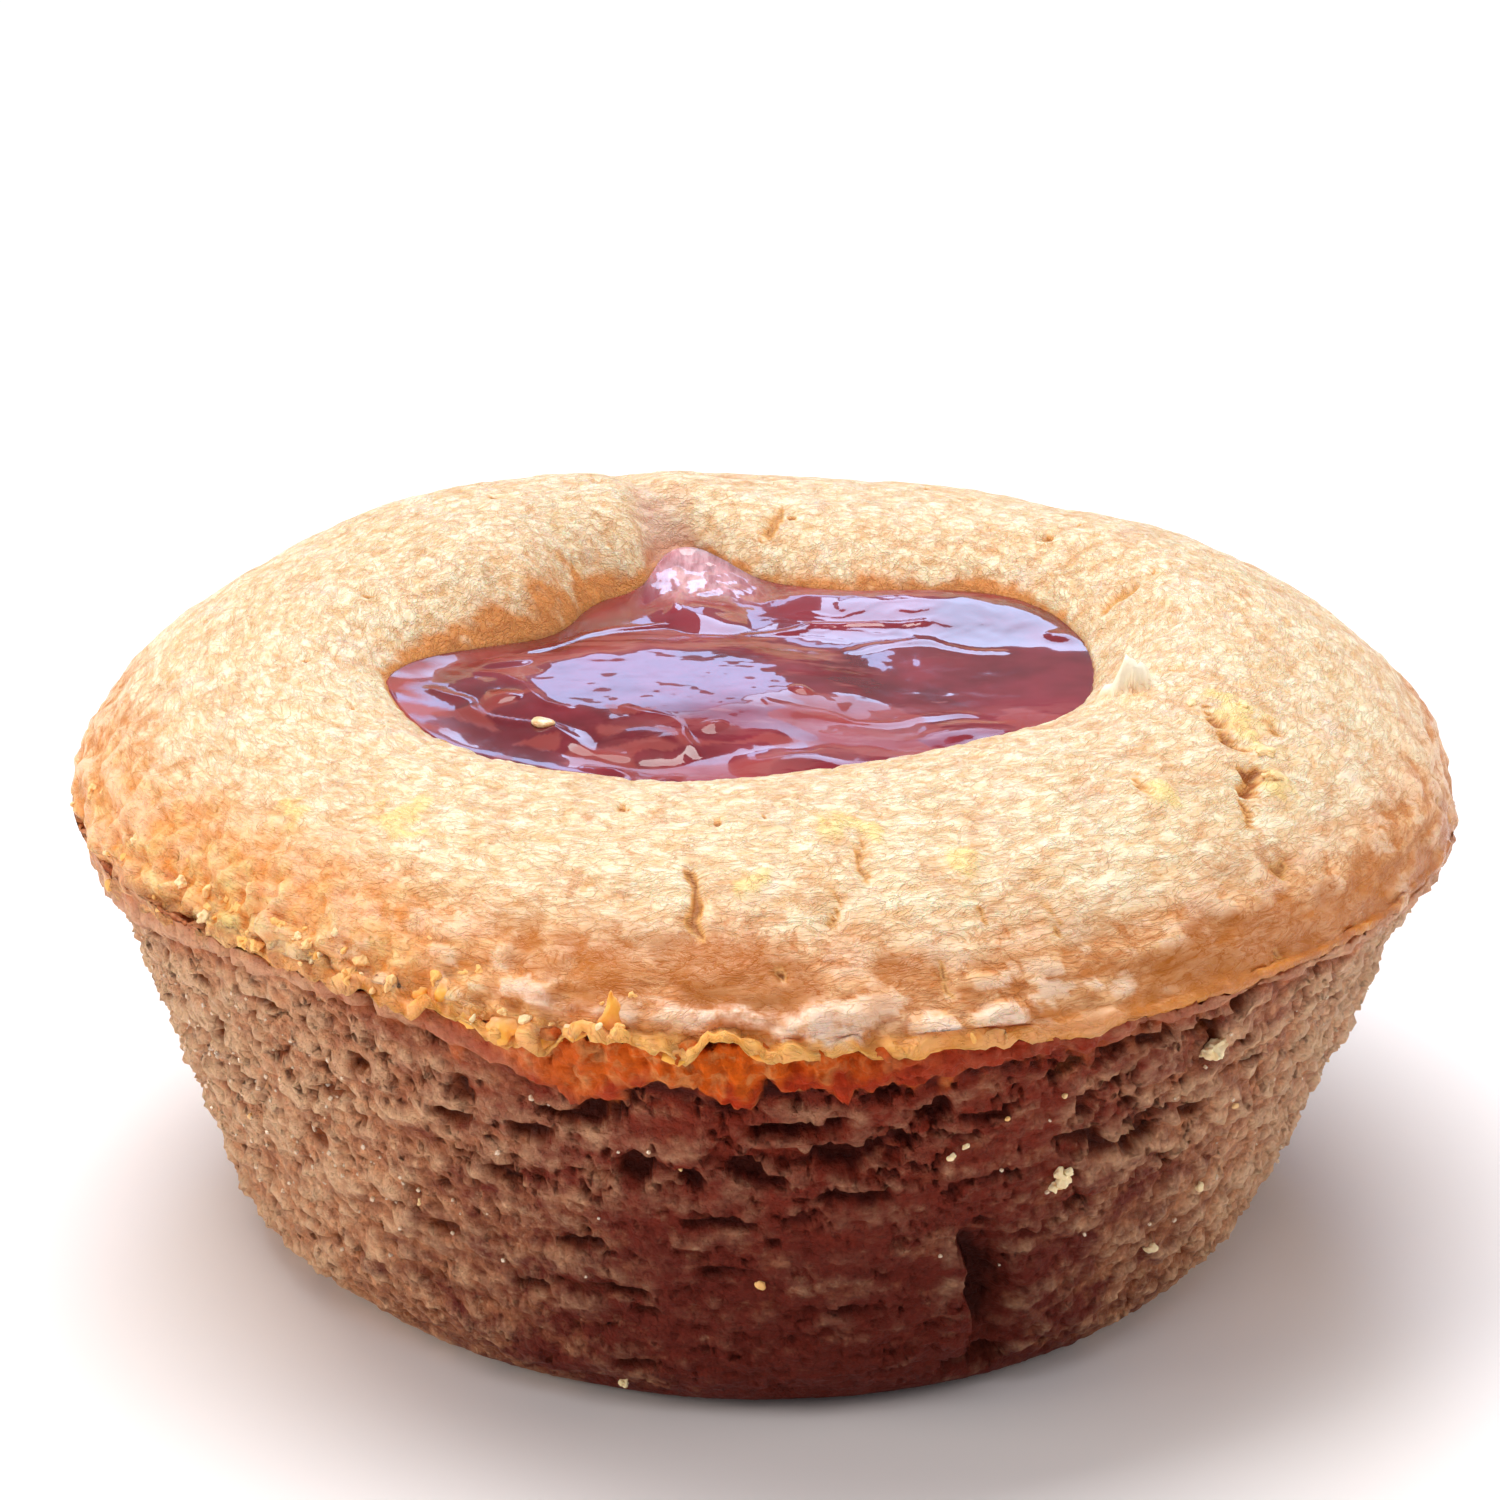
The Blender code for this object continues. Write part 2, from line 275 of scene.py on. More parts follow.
angles = crowded_angles(CRUMB_COLUMNS)
radii, heights = [], []
for row in range(UNDERSIDE_ROWS):
    radii.append((base_radius(angles) - BASE_CORNER) * (0.1 + 0.9 * row / UNDERSIDE_ROWS))
    heights.append(0 * angles)
for row in range(CORNER_ROWS):
    sweep = math.radians(CORNER_SWEEP * row / CORNER_ROWS)
    radii.append(base_radius(angles) - BASE_CORNER * (1 - math.sin(sweep)))
    heights.append(BASE_CORNER * (1 - math.cos(sweep)) + 0 * angles)
for row in range(WALL_ROWS):
    low = cup_foot(angles)[1]
    heights.append(low + (WALL_TOP - low) * row / (WALL_ROWS - 1) + 0 * angles)
    radii.append(cup_radius(angles, heights[-1]))
for row in range(TUCK_ROWS):
    radii.append(rim_radius(angles) - TUCK_STEP * (row + 1))
    heights.append(WALL_TOP + 0 * angles)
radii, heights = np.array(radii), np.array(heights)
places = round_points(angles, radii, heights)
facing = outward(places)
wall = ease(heights, 0.15, 1.2) * (np.arange(len(radii)) < len(radii) - TUCK_ROWS)[:, None]
upper = ease(heights, 9, 14)
flanks = 1 - near(angles, -92, 60)

uneven = bent(places, 2.0, (0.8, 0.8, 0.5), 1)
lay = speckle(uneven, (4.2, 4.2, 1.7), 3, 5)
cut = 0.16 + 0.2 * speckle(places, (8.0, 8.0, 5.0), 1, 6)
sharp = np.zeros_like(cut)
for level in (-0.38, -0.12, 0.12, 0.36):
    cut += 0.055 * ease(lay, level, level + 0.04)
    gap = swell(lay - level - 0.035, 0.06) * ease(speckle(places, 3.0, 1, 7 + level), 0.0, 0.2)
    sharp += (0.13 + 0.24 * upper) * gap
seams = 1 - ease(np.abs(speckle(uneven, (7.0, 7.0, 0.9), 2, 8)), 0.01, 0.06)
sharp += 0.15 * seams * (0.15 + 0.85 * flanks)
torn = speckle(uneven, (2.3, 2.3, 0.9), 3, 9)
sharp += (0.22 + 0.26 * upper) * ease(torn, 0.5 - 0.06 * upper, 0.58 - 0.06 * upper)
sharp += 0.12 * ease(speckle(places, (0.8, 0.8, 0.42), 2, 10), 0.46, 0.54)

ragged = 0.6 * speckle(places, (1.7, 1.7, 1.1), 2, 11) + 0.35 * speckle(places, (0.9, 0.9, 0.8), 1, 12)
deepest = np.zeros_like(cut)
for centre, level, half_width, half_height, depth in HOLLOWS:
    nearby = np.flatnonzero(np.abs(turned(angles, centre)) < math.degrees(2.2 * half_width / MIDDLE_RADIUS))
    along = np.radians(turned(angles[nearby], centre)) * radii[:, nearby] / half_width
    across = (heights[:, nearby] - level) / half_height
    reach = np.hypot(along, across) + 0.95 * ragged[:, nearby]
    deepest[:, nearby] = np.maximum(deepest[:, nearby], depth * (1 - ease(reach, 0.58, 1.12)))
cut = softened(cut, 1) + sharp
cut = np.maximum(cut, 0.45 * cut + deepest)
grainy = 0.6 + 0.6 * near(angles, -150, 50)
packed = granules(bent(places, 1.0, (0.35, 0.35, 0.35), 47), (0.95, 0.95, 0.75), 1)
clumps = granules(bent(places, 1.6, (0.7, 0.7, 0.7), 49), (2.2, 2.2, 1.6), 3)
cut += (0.03 + 0.13 * flanks) * (1 - packed) + (0.04 + 0.3 * flanks) * (1 - clumps)
cut += grainy * (0.1 * speckle(places, (0.95, 0.95, 0.7), 3, 13) + 0.09 * speckle(places, 0.42, 2, 14))
crease_line = np.interp(heights, CREASE_HEIGHTS, CREASE_ANGLES)
crease_line = crease_line + 0.9 * speckle(places, (1.2, 1.2, 0.9), 3, 18)
past_crease = np.radians(turned(angles, crease_line)) * radii
steep = ease(past_crease, -0.1, 0.25) * (1 - ease(past_crease, 0.7, 3.2)) * swell(heights - 6.2, 5.4) ** 0.7
brow = (1 - ease(past_crease, -0.1, 0.1)) * swell(past_crease, 2.4) * swell(heights - 6.5, 5.0)
cut += CREASE_DEEP * steep - 0.35 * brow
cut = np.maximum(cut, 0.0) * wall

tooth = 0.6 * speckle(places, (1.5, 1.5, 4.0), 2, 15) + 0.6 * speckle(places, (0.75, 0.75, 1.6), 3, 16)
above_band = heights - band_foot(angles)
band = softened(ease(above_band + tooth, -0.05, 0.1) * wall, 1)
front_band = near(angles, -88, 34)
rough_band = 1 + 1.6 * speckle(places, (1.1, 1.1, 0.8), 3, 17) + 1.3 * speckle(places, 0.5, 2, 19)
cut = cut * (1 - 0.7 * band) - 0.32 * band * (0.25 + 0.75 * front_band) * rough_band
cut += 0.3 * swell(above_band + 0.45, 0.8) * (1 - band) * wall * (0.1 + 0.9 * front_band)
cut -= 0.32 * swell(above_band - 0.25, 0.75) * wall * (1 - front_band)

crumb_points = places - facing * cut[..., None]
crumb_surface, crumb_heights, crumb_angles = (crumb_points, facing), heights, angles
crumb_sleeve = sleeve("crumb_side", crumb_points, "fill")
crumb = crumb_sleeve[0]
around = softened(cut, 50)
# Painted shade: the hollows, the deep cuts and the crease's steep side are marked to be coloured darker, as
# the shade that falls in them.
hollow = np.maximum(np.clip((cut - around - 0.09) / 0.32, 0, 1), np.clip((cut - 0.85) / 1.1, 0, 1))
hollow = np.maximum(hollow, 0.92 * ease(steep, 0.4, 0.9))
blurred = 1.3 * (1 - near(angles, -92, 42))
stained = ease(above_band + tooth * (1 + blurred), -0.3 - 1.2 * blurred, 0.15 + 0.5 * blurred) * wall
pale_flanks = np.clip(swells(PALE_FLANKS, angles), 0, 1.3)
# Painted light and shade: paler on the sides where the light falls, darker at the front, and darkest low down
# at the front, where it is in shade.
tone = pale_flanks * (0.84 + 0.25 * ease(heights, 0, 12)) - 0.02
tone -= 0.17 * (1 - pale_flanks) * (1 - ease(heights, 1, 11))
red_edge = ease(0.9 - above_band + 1.1 * tooth, -0.4, 0.7) + 0.9 * near(angles, -74, 16)
note_fields(
    crumb_sleeve, hollow=hollow, tone=tone, raised=np.clip((around - cut) / 0.22, 0, 1),
    flank=np.clip(pale_flanks, 0, 1) + 0 * heights, packed=0.5 * packed + 0.5 * clumps,
    band=stained * (1 - 0.62 * np.minimum(blurred, 1)), red=np.clip(red_edge * band, 0, 1),
)


class Nodes:
    """A material's node tree, written as sums: each call adds a node and gives back its output."""

    def __init__(self, name):
        self.material = bpy.data.materials.new(name)
        self.material.use_nodes = True
        self.tree = self.material.node_tree
        self.shader = self.tree.nodes["Principled BSDF"]

    def put(self, socket, value):
        if isinstance(value, bpy.types.NodeSocket):
            self.tree.links.new(value, socket)
        else:
            socket.default_value = value

    def add(self, kind, output, **settings):
        node = self.tree.nodes.new(kind)
        inputs = settings.pop("inputs", {})
        for name, value in settings.items():
            setattr(node, name, value)
        for name, value in inputs.items():
            self.put(node.inputs[name], value)
        return node.outputs[output]

    def place(self, *scale):
        spot = self.add("ShaderNodeTexCoord", "Object")
        return self.add("ShaderNodeMapping", "Vector", inputs={"Vector": spot, "Scale": scale})

    def kept(self, name):
        return self.add("ShaderNodeAttribute", "Fac", attribute_name=name)

    def grain(self, vector, size, detail=4.0, roughness=0.6, warp=0.0):
        """Noise whose lumps are size millimetres wide."""
        inputs = {"Vector": vector, "Scale": 1000 / size, "Detail": detail, "Roughness": roughness}
        return self.add("ShaderNodeTexNoise", "Fac", inputs={**inputs, "Distortion": warp})

    def between(self, value, low, high, to_low=0.0, to_high=1.0):
        inputs = {0: value, 1: low, 2: high, 3: to_low, 4: to_high}
        return self.add("ShaderNodeMapRange", "Result", inputs=inputs)

    def patches(self, grain, low, high, to_low=0.0, to_high=1.0):
        return self.between(self.grain(*grain), low, high, to_low, to_high)

    def sum(self, operation, first, second=0.0):
        return self.add("ShaderNodeMath", "Value", operation=operation, inputs={0: first, 1: second})

    def plus(self, first, second):
        return self.sum("ADD", first, second)

    def minus(self, first, second):
        return self.sum("SUBTRACT", first, second)

    def times(self, first, second):
        return self.sum("MULTIPLY", first, second)

    def mix(self, share, first, second):
        return self.add("ShaderNodeMix", 2, data_type="RGBA", inputs={0: share, 6: first, 7: second})

    def paint(self, share, colour):
        """Lays a colour over those that the surface has so far."""
        self.colour = self.mix(share, self.colour, colour)

    def paint_on(self, name, share, colour):
        """Lays a share of a colour where a kept field is high."""
        self.paint(self.times(self.kept(name), share), colour)

    def bump(self, height, distance, strength=1.0, below=None):
        inputs = {"Height": height, "Distance": distance * MM, "Strength": strength}
        if below is not None:
            inputs["Normal"] = below
        return self.add("ShaderNodeBump", "Normal", inputs=inputs)

    def finish(self, piece, **values):
        for name, value in values.items():
            self.put(self.shader.inputs[name.replace("_", " ")], value)
        piece.data.materials.clear()
        piece.data.materials.append(self.material)


look = Nodes("crumb")
spot = look.place(1, 1, 1)
flat_spot = look.place(1, 1, 2.2)
hollow = look.kept("hollow")
patches = look.patches((flat_spot, 3.0), 0.3, 0.7, -0.34, 0.24)
patches = look.plus(patches, look.patches((spot, 1.1), 0.36, 0.64, -0.16, 0.16))
# The share of tan carries the painted light and shade of the side.
share = look.plus(look.kept("tone"), look.times(patches, look.between(look.kept("flank"), 0, 1, 0.8, 1.7)))
above = look.add("ShaderNodeSeparateXYZ", "Z", inputs={0: spot})
brown = look.mix(look.between(above, 0.009, 0.018), CRUMB_BROWN, CRUMB_WARM)
look.colour = look.mix(share, brown, CRUMB_TAN)
look.paint(look.between(share, 0.95, 1.75, 0, 0.75), CRUMB_PALE)
look.paint(look.patches((spot, 0.6), 0.4, 0.66, 0.35, 0), CRUMB_RED)
# Painted highlight: the tops of the ledges are painted paler, as where light falls on them.
look.paint_on("raised", look.between(share, -0.2, 1.0, 0.0, 0.8), CRUMB_PALE)
# Pale flecks on the tops of the packed crumbs: partly the crumbs' own pale bits, partly painted glints,
# stronger where the side is painted lit.
flecks = look.times(look.patches((spot, 0.4, 5, 0.7), 0.52, 0.64), look.between(share, -0.1, 1.0, 0.03, 0.9))
flecks = look.times(flecks, look.between(look.kept("packed"), 0.2, 0.9, 0.25, 1.0))
look.paint(flecks, CRUMB_PALE)
# Painted shade in the hollows: dark red, a warmer orange-brown on the sides, and near black in the deepest at
# the front.
look.paint(look.between(hollow, 0.1, 0.6), look.mix(look.kept("flank"), CRUMB_RED, HOLLOW_WARM))
shaded = look.between(look.kept("flank"), 0, 1, 1, 0.35)
look.paint(look.times(look.between(hollow, 0.6, 1.0, 0, 0.85), shaded), CRUMB_DARK)
band_colour = look.mix(look.patches((spot, 1.3, 4), 0.5, 0.6, 0, 0.7), BAND_ORANGE, BAND_TAN)
band_colour = look.mix(look.kept("red"), band_colour, BAND_RED)
band_colour = look.mix(look.patches((flat_spot, 0.9, 5, 0.7), 0.38, 0.54, 0.28, 0), band_colour, CRUMB_RED)
look.paint(look.kept("band"), band_colour)
grit = look.between(look.kept("band"), 0, 1, 1.0, 0.45)
rough = look.bump(look.grain(spot, 0.7, 6, 0.75), 0.55, grit)
pushed = look.add("ShaderNodeTexNoise", "Color", inputs={"Vector": spot, "Scale": 1400, "Detail": 2.0})
pushed = {0: pushed, 1: (0.0004,) * 3, 2: spot}
pushed = look.add("ShaderNodeVectorMath", "Vector", operation="MULTIPLY_ADD", inputs=pushed)
crumbs = look.add("ShaderNodeTexVoronoi", "Distance", inputs={"Vector": pushed, "Scale": 2400})
rough = look.bump(look.minus(1.0, crumbs), 0.2, grit, rough)
look.finish(
    crumb, Base_Color=look.colour, Roughness=look.patches((spot, 0.8), 0.3, 0.7, 0.36, 0.7), Normal=rough,
    Subsurface_Weight=0.12, Subsurface_Radius=(1.0, 0.3, 0.12), Subsurface_Scale=0.0006,
    Specular_IOR_Level=0.12, Coat_Weight=look.between(look.kept("flank"), 0, 1, 0, 0.16), Coat_Roughness=0.2,
)
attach(crumb, "root")
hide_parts("cookie")

# --- Crust ring -------------------------------------------------------------------------------
# The puffed ring of dough above the cup's rim, with its baked skin. The skin is finely wrinkled
# round the ring, split in a few places, and ends below in a ragged lip that hung over the cup.

CREST_RADIUS = 21.1
CREST_RISE = 8.1
DOME_POWER = 1.75
DOME_FOOT = RIM_HEIGHT + 0.75
# (way out, rise) of the steps round the lip's underside, which end LIP_ROLL above its foot.
LIP_UNDER = ((-2.6, 0.35), (-1.2, 0.2), (-0.45, 0.05), (-0.16, 0.0), (-0.02, 0.1), (0.0, 0.26))
LIP_ROLL = LIP_UNDER[-1][1]
CREST_WAVES = ((1.1, 1, 72), (0.8, 2, -36), (0.5, 3, 24))
POOL_RADIUS = 16.0
POOL_LEVEL = 26.2
POOL_WAVES = ((1.2, 1, 198), (1.0, 2, 8))
POOL_BULGES = ((158, 34, -4.8), (132, 34, -2.4), (72, 34, -1.9), (104, 13, 2.6), (34, 40, 0.9))
JAM_CREEPS = ((104, 18, 1.0), (188, 34, 0.7), (40, 40, 0.3))
WELL_DEPTH = 8.0
# (angle, height) along the lower edge of the crust's lip.
LIP_EDGE = (
    (-180, 19.3), (-164, 18.6), (-150, 20.2), (-137.7, 21.3), (-128, 21.2), (-122.8, 21.2), (-116.7, 21.2),
    (-112.4, 20.9), (-109.7, 20.5), (-108, 20.9), (-106.5, 20.3), (-103.1, 21.4), (-100.5, 21.5),
    (-98.2, 21.1), (-95.7, 20.8), (-93.8, 21.5), (-91.8, 21.5), (-89.8, 20.9), (-86.7, 20.8), (-84, 21.1),
    (-81.6, 20.9), (-77, 21.3), (-71, 21.2), (-65, 20.9), (-56, 21.2), (-46, 21.4), (-30, 21.2), (0, 20.6),
    (20, 20.1), (60, 20.8), (90, 20.4), (120, 19.7), (150, 20.2),
)

CRUST_COLUMNS = 660
LIP_ROWS = 12
DOME_ROWS = 74
CRUST_OUTER = slice(5, LIP_ROWS + DOME_ROWS)
SLOPE_ROWS = 46
WELL_ROWS = 14

# (angle, radius) along each split of the skin, then its half width and depth in millimetres.
SPLITS = (
    (((-96.9, 26.8), (-96.1, 27.6), (-96.0, 28.6), (-95.2, 29.6)), 0.27, 0.42),
    (((-80.6, 25.2), (-81.6, 26.6), (-81.2, 27.6)), 0.15, 0.34),
    (((-83.4, 28.2), (-84.9, 29.9)), 0.17, 0.36),
    (((-31.5, 23.2), (-32.9, 24.1), (-34.7, 24.9), (-35.3, 25.5), (-35.1, 26.7), (-37.6, 27.5)), 0.21, 0.5),
    (((-37.2, 27.3), (-39.4, 27.8), (-41.3, 28.2)), 0.33, 0.75),
    (((-41.0, 28.1), (-44.6, 29.2)), 0.16, 0.45), (((-29.0, 26.0), (-29.4, 26.4)), 0.36, 0.35),
    (((-42.8, 30.8), (-43.8, 31.0), (-44.6, 30.7)), 0.22, 0.45),
    (((86.5, 17.6), (88.0, 16.6), (90.9, 15.4)), 0.25, 0.34), (((-72.5, 29.6), (-72.3, 30.3)), 0.14, 0.4),
    (((-66.8, 29.9), (-66.5, 30.7)), 0.15, 0.4), (((-76.4, 31.2), (-76.2, 32.2)), 0.13, 0.4),
    (((-49.6, 25.0), (-50.3, 25.6), (-51.4, 26.7)), 0.17, 0.35), (((15.5, 17.4), (14.0, 18.8)), 0.35, 0.25),
    (((-104.5, 27.2), (-106.0, 27.4)), 0.2, 0.2),
)
# (angle, radius) at both ends of the dent behind the jam, then its half width and depth.
DENT = ((106.5, 15.0), (109.0, 24.0), 2.2, 0.5)
# Above this height are the marks that come only in the ring's top.
LIP_TOP = 21.3
# (angle, radius) from the low end to the tip of the flake that stands up beside the well.
FLAKE = ((-32.7, 17.6), (-31.4, 18.6), (-30.2, 19.9))
FLAKE_HEIGHT = 1.45
DIMPLE_SIZE = 9.0
DIMPLE_DEPTH = 0.35
# (angle, radius, half width) of each place where the skin is broken and its yellow inside shows.
BROKEN = (
    (-30.6, 24.5, 0.9), (-31.6, 25.6, 1.2), (-29.6, 25.4, 1.0), (-28.9, 23.4, 0.8), (-33.0, 26.7, 0.9),
    (-37.0, 28.3, 0.9), (-130.0, 24.8, 1.5), (-127.0, 25.6, 1.1), (-82.4, 24.6, 1.2), (-80.0, 25.2, 0.8),
    (-141.0, 27.0, 1.1), (-49.5, 26.6, 0.8), (-91.5, 27.0, 1.1), (-72.0, 27.4, 0.8),
)

# (angle, height, half width, half height) of the flakes of skin that lifted just above the lip.
RAISED_FLAKES = (
    (-84.8, 22.2, 2.4, 0.75), (-77.4, 22.1, 1.0, 0.4), (-72.0, 22.2, 1.2, 0.42), (-93.2, 22.5, 1.9, 0.36),
    (-108.5, 22.6, 1.3, 0.5),
)

# (angle, half width, height, half height, share) of the skin where butter came through.
GREASY_PATCHES = ((-96, 27, 23.6, 2.4, 1.0), (-50, 17, 22.8, 2.2, 1.0), (-36, 44, 21.8, 2.3, 0.9))

SKIN_CREAM = (1.0, 0.9, 0.65, 1)
SKIN_TAN = (0.84, 0.54, 0.27, 1)
SKIN_PINK = (0.92, 0.73, 0.61, 1)
SKIN_GOLD = (0.64, 0.22, 0.048, 1)
SKIN_PEACH = (0.95, 0.57, 0.29, 1)
SKIN_SHEEN = (0.97, 0.72, 0.56, 1)
SKIN_GREASY = (0.46, 0.132, 0.008, 1)
FLAKE_CREAM = (1.0, 0.93, 0.74, 1)
SKIN_ORANGE = (0.9, 0.31, 0.035, 1)
EDGE_YELLOW = (1.0, 0.47, 0.115, 1)
RUBBED_BROWN = (0.46, 0.155, 0.05, 1)
SKIN_YELLOW = (1.0, 0.75, 0.3, 1)
WELL_BROWN = (0.74, 0.3, 0.085, 1)
SPLIT_BROWN = (0.44, 0.14, 0.026, 1)
SPLIT_TAN = (0.8, 0.42, 0.14, 1)
JAM_BLUSH = (0.76, 0.46, 0.4, 1)


def crest(angle):
    return CREST_RADIUS * rim_radius(angle) / RIM_RADIUS, RIM_HEIGHT + CREST_RISE + waves(CREST_WAVES, angle)


def pool_radius(angle):
    return POOL_RADIUS + waves(POOL_WAVES, angle) + swells(POOL_BULGES, angle)


def pool_edge(angle):
    return POOL_LEVEL + swells(JAM_CREEPS, angle)


def on_plan(angle, radius):
    turn = math.radians(angle)
    return np.array((AXIS[0] + radius * math.cos(turn), AXIS[1] + radius * math.sin(turn)))


def nearest_on(corners, spots):
    """How far each place on plan is from a path through its corners."""
    best = np.full(spots.shape[:-1], 99.0)
    for start, end in zip(corners, corners[1:]):
        run = end - start
        share = np.clip((spots - start) @ run / (run @ run), 0, 1)
        best = np.minimum(best, np.linalg.norm(spots - start - share[..., None] * run, axis=-1))
    return best


angles = crowded_angles(CRUST_COLUMNS)
line = round_points(angles, rim_radius(angles), 0 * angles)
teeth = 0.4 * speckle(line, 1.9, 2, 21) + 0.62 * speckle(line, 0.9, 3, 22)
bitten = 0.45 + 0.55 * near(angles, -105, 45)
lip_foot = along_edge(LIP_EDGE, angles) + bitten * np.clip(teeth, -0.4, 0.45)
hanging = near(angles, -100, 48)
lip_out = cup_radius(angles, lip_foot) + 0.06 + 0.36 * hanging
lip_out = lip_out + 0.45 * np.abs(speckle(line, 1.2, 2, 23)) * bitten * hanging
radii, heights = [], []
for way_out, rise in LIP_UNDER:
    radii.append(lip_out + way_out)
    heights.append(lip_foot + rise)
top_radius, top = crest(angles)
for row in range(LIP_ROWS - len(LIP_UNDER)):
    share = (row + 1) / (LIP_ROWS - len(LIP_UNDER))
    heights.append(lip_foot + LIP_ROLL + (DOME_FOOT - lip_foot - LIP_ROLL) * share)
    start_turn = math.asin(((DOME_FOOT - RIM_HEIGHT) / CREST_RISE) ** (DOME_POWER / 2))
    start = top_radius + (rim_radius(angles) - top_radius) * math.cos(start_turn) ** (2 / DOME_POWER)
    radii.append(lip_out + (start - lip_out) * share)
for row in range(DOME_ROWS):
    turn = start_turn + (math.pi / 2 - start_turn) * (row + 1) / DOME_ROWS
    radii.append(top_radius + (rim_radius(angles) - top_radius) * math.cos(turn) ** (2 / DOME_POWER))
    heights.append(RIM_HEIGHT + (top - RIM_HEIGHT) * math.sin(turn) ** (2 / DOME_POWER))
width = top_radius - pool_radius(angles)
steepness = 2.1 + 0.3 * np.maximum(0.0, width - 5)
for row in range(SLOPE_ROWS):
    share = ((row + 1) / SLOPE_ROWS) ** 0.8
    radii.append(top_radius - width * share)
    heights.append(top - (top - pool_edge(angles)) * share ** steepness)
for row in range(WELL_ROWS):
    turn = math.radians(50 * (row + 1) / WELL_ROWS)
    radii.append(pool_radius(angles) * math.cos(turn))
    heights.append(pool_edge(angles) - WELL_DEPTH * math.sin(turn))
radii, heights = np.array(radii), np.array(heights)
places = round_points(angles, radii, heights)
lengths = np.cumsum(np.linalg.norm(np.diff(places, axis=0, prepend=places[:1]), axis=-1), axis=0)
lengths -= lengths[LIP_ROWS + DOME_ROWS]
turn = np.radians(angles) + 0 * lengths
skin = np.stack((MIDDLE_RADIUS * np.cos(turn), MIDDLE_RADIUS * np.sin(turn), lengths), axis=-1)
facing = outward(places)

steps = np.arange(len(radii))[:, None]
well_step = len(radii) - WELL_ROWS
above_lip = heights > LIP_TOP
shown = ease(steps, 2.5, 5.5) * (1 - ease(steps, well_step - 3, well_step + 1))
outside = radii > top_radius
low = (1 - ease(heights, 22.2, 27.0)) * outside
crumbly = near(angles, -142, 44) * (1 - ease(heights, 22.5, 26.5)) * outside
greasy = np.zeros_like(heights)
for centre, half_width, level, half_height, share in GREASY_PATCHES:
    greasy += share * near(angles, centre, half_width) * swell(heights - level, half_height)
greasy = np.clip(1.4 * greasy + 1.4 * speckle(skin, 1.9, 3, 24), 0, 1) * ease(greasy, 0.02, 0.35) * outside

uneven = bent(skin, (1.6, 1.6, 1.0), (0.6, 0.6, 0.45), 25)
flaky = ease(speckle(uneven, (1.7, 1.7, 0.7), 3, 28), -0.12, 0.14)
plates = ease(speckle(uneven, (2.1, 2.1, 0.85), 3, 29), 0.1, 0.18) * low * (1 - 0.8 * greasy)
relief = DIMPLE_DEPTH * speckle(places - (*AXIS, 0), DIMPLE_SIZE, 1)
relief += (0.085 + 0.13 * low) * flaky * (1 - 0.55 * greasy) + 0.22 * plates
relief += 0.1 * speckle(skin, (3.2, 3.2, 1.9), 2, 30) * (1 + 0.8 * low)
relief += 0.05 * speckle(skin, (0.8, 0.8, 0.5), 2, 31) * (1 - 0.7 * greasy)
edging = (1 - ease(steps, 9, 20)) * near(angles, -102, 44)
knobs = 0.45 * granules(bent(places, 1.2, (0.5, 0.5, 0.5), 48), 1.15, 2) - 0.25
knobs += 0.6 * speckle(places, 0.9, 3, 32) + 0.35 * speckle(places, 2.0, 2, 33)
relief += np.maximum(crumbly, 0.8 * edging) * 1.05 * knobs
shelf = swell(heights - 22.45 - 0.5 * speckle(places, (2.4, 2.4, 1.0), 2, 35), 0.55) * near(angles, -96, 26)
shelf *= ease(speckle(places, (2.2, 2.2, 1.2), 2, 36), -0.25, 0.05) * outside
for centre, level, half_width, half_height in RAISED_FLAKES:
    along = np.radians(turned(angles, centre)) * radii / half_width
    reach = np.hypot(along, (heights - level) / half_height) + 0.7 * speckle(places, (1.3, 1.3, 0.9), 3, 64)
    shelf = np.maximum(shelf, 1.25 * (1 - ease(reach, 0.8, 1.0)) * outside)
relief += 0.4 * shelf

split = np.zeros_like(relief)
wander = bent(places, 1.1, (0.35, 0.35, 0), 34)[..., :2]
frayed = 1 + 1.1 * speckle(places, 0.9, 3, 41)
for path, half_width, depth in SPLITS:
    away = nearest_on([on_plan(*corner) for corner in path], wander)
    split = np.maximum(split, depth * (1 - ease(away / half_width, 0.15 * frayed, 1.15 * frayed)) * above_lip)
dent_in, dent_out, dent_width, dent_depth = DENT
from_dent = nearest_on([on_plan(*dent_in), on_plan(*dent_out)], places[..., :2])
relief -= dent_depth * swell(from_dent, dent_width) * above_lip
broken = np.zeros_like(relief)
for angle, radius, half_width in BROKEN:
    away = np.linalg.norm(wander - on_plan(angle, radius), axis=-1) / half_width
    broken = np.maximum(broken, 1 - ease(away, 0.8, 1.05))
broken *= above_lip * ease(speckle(places, 1.6, 3, 37), -0.32, -0.08)
relief += broken * (0.16 + 0.16 * speckle(places, (1.3, 1.3, 0.9), 2, 38))
from_flake = nearest_on([on_plan(*corner) for corner in FLAKE], wander)
flake = (1 - ease(from_flake, 0.1, 0.55)) * ease(radii, 17.0, 19.7) ** 1.6 * (1 - ease(radii, 19.9, 20.3))
flake *= 1 + 0.9 * speckle(places, 0.7, 2, 43)
relief = softened(relief, 1) - softened(split, 1)

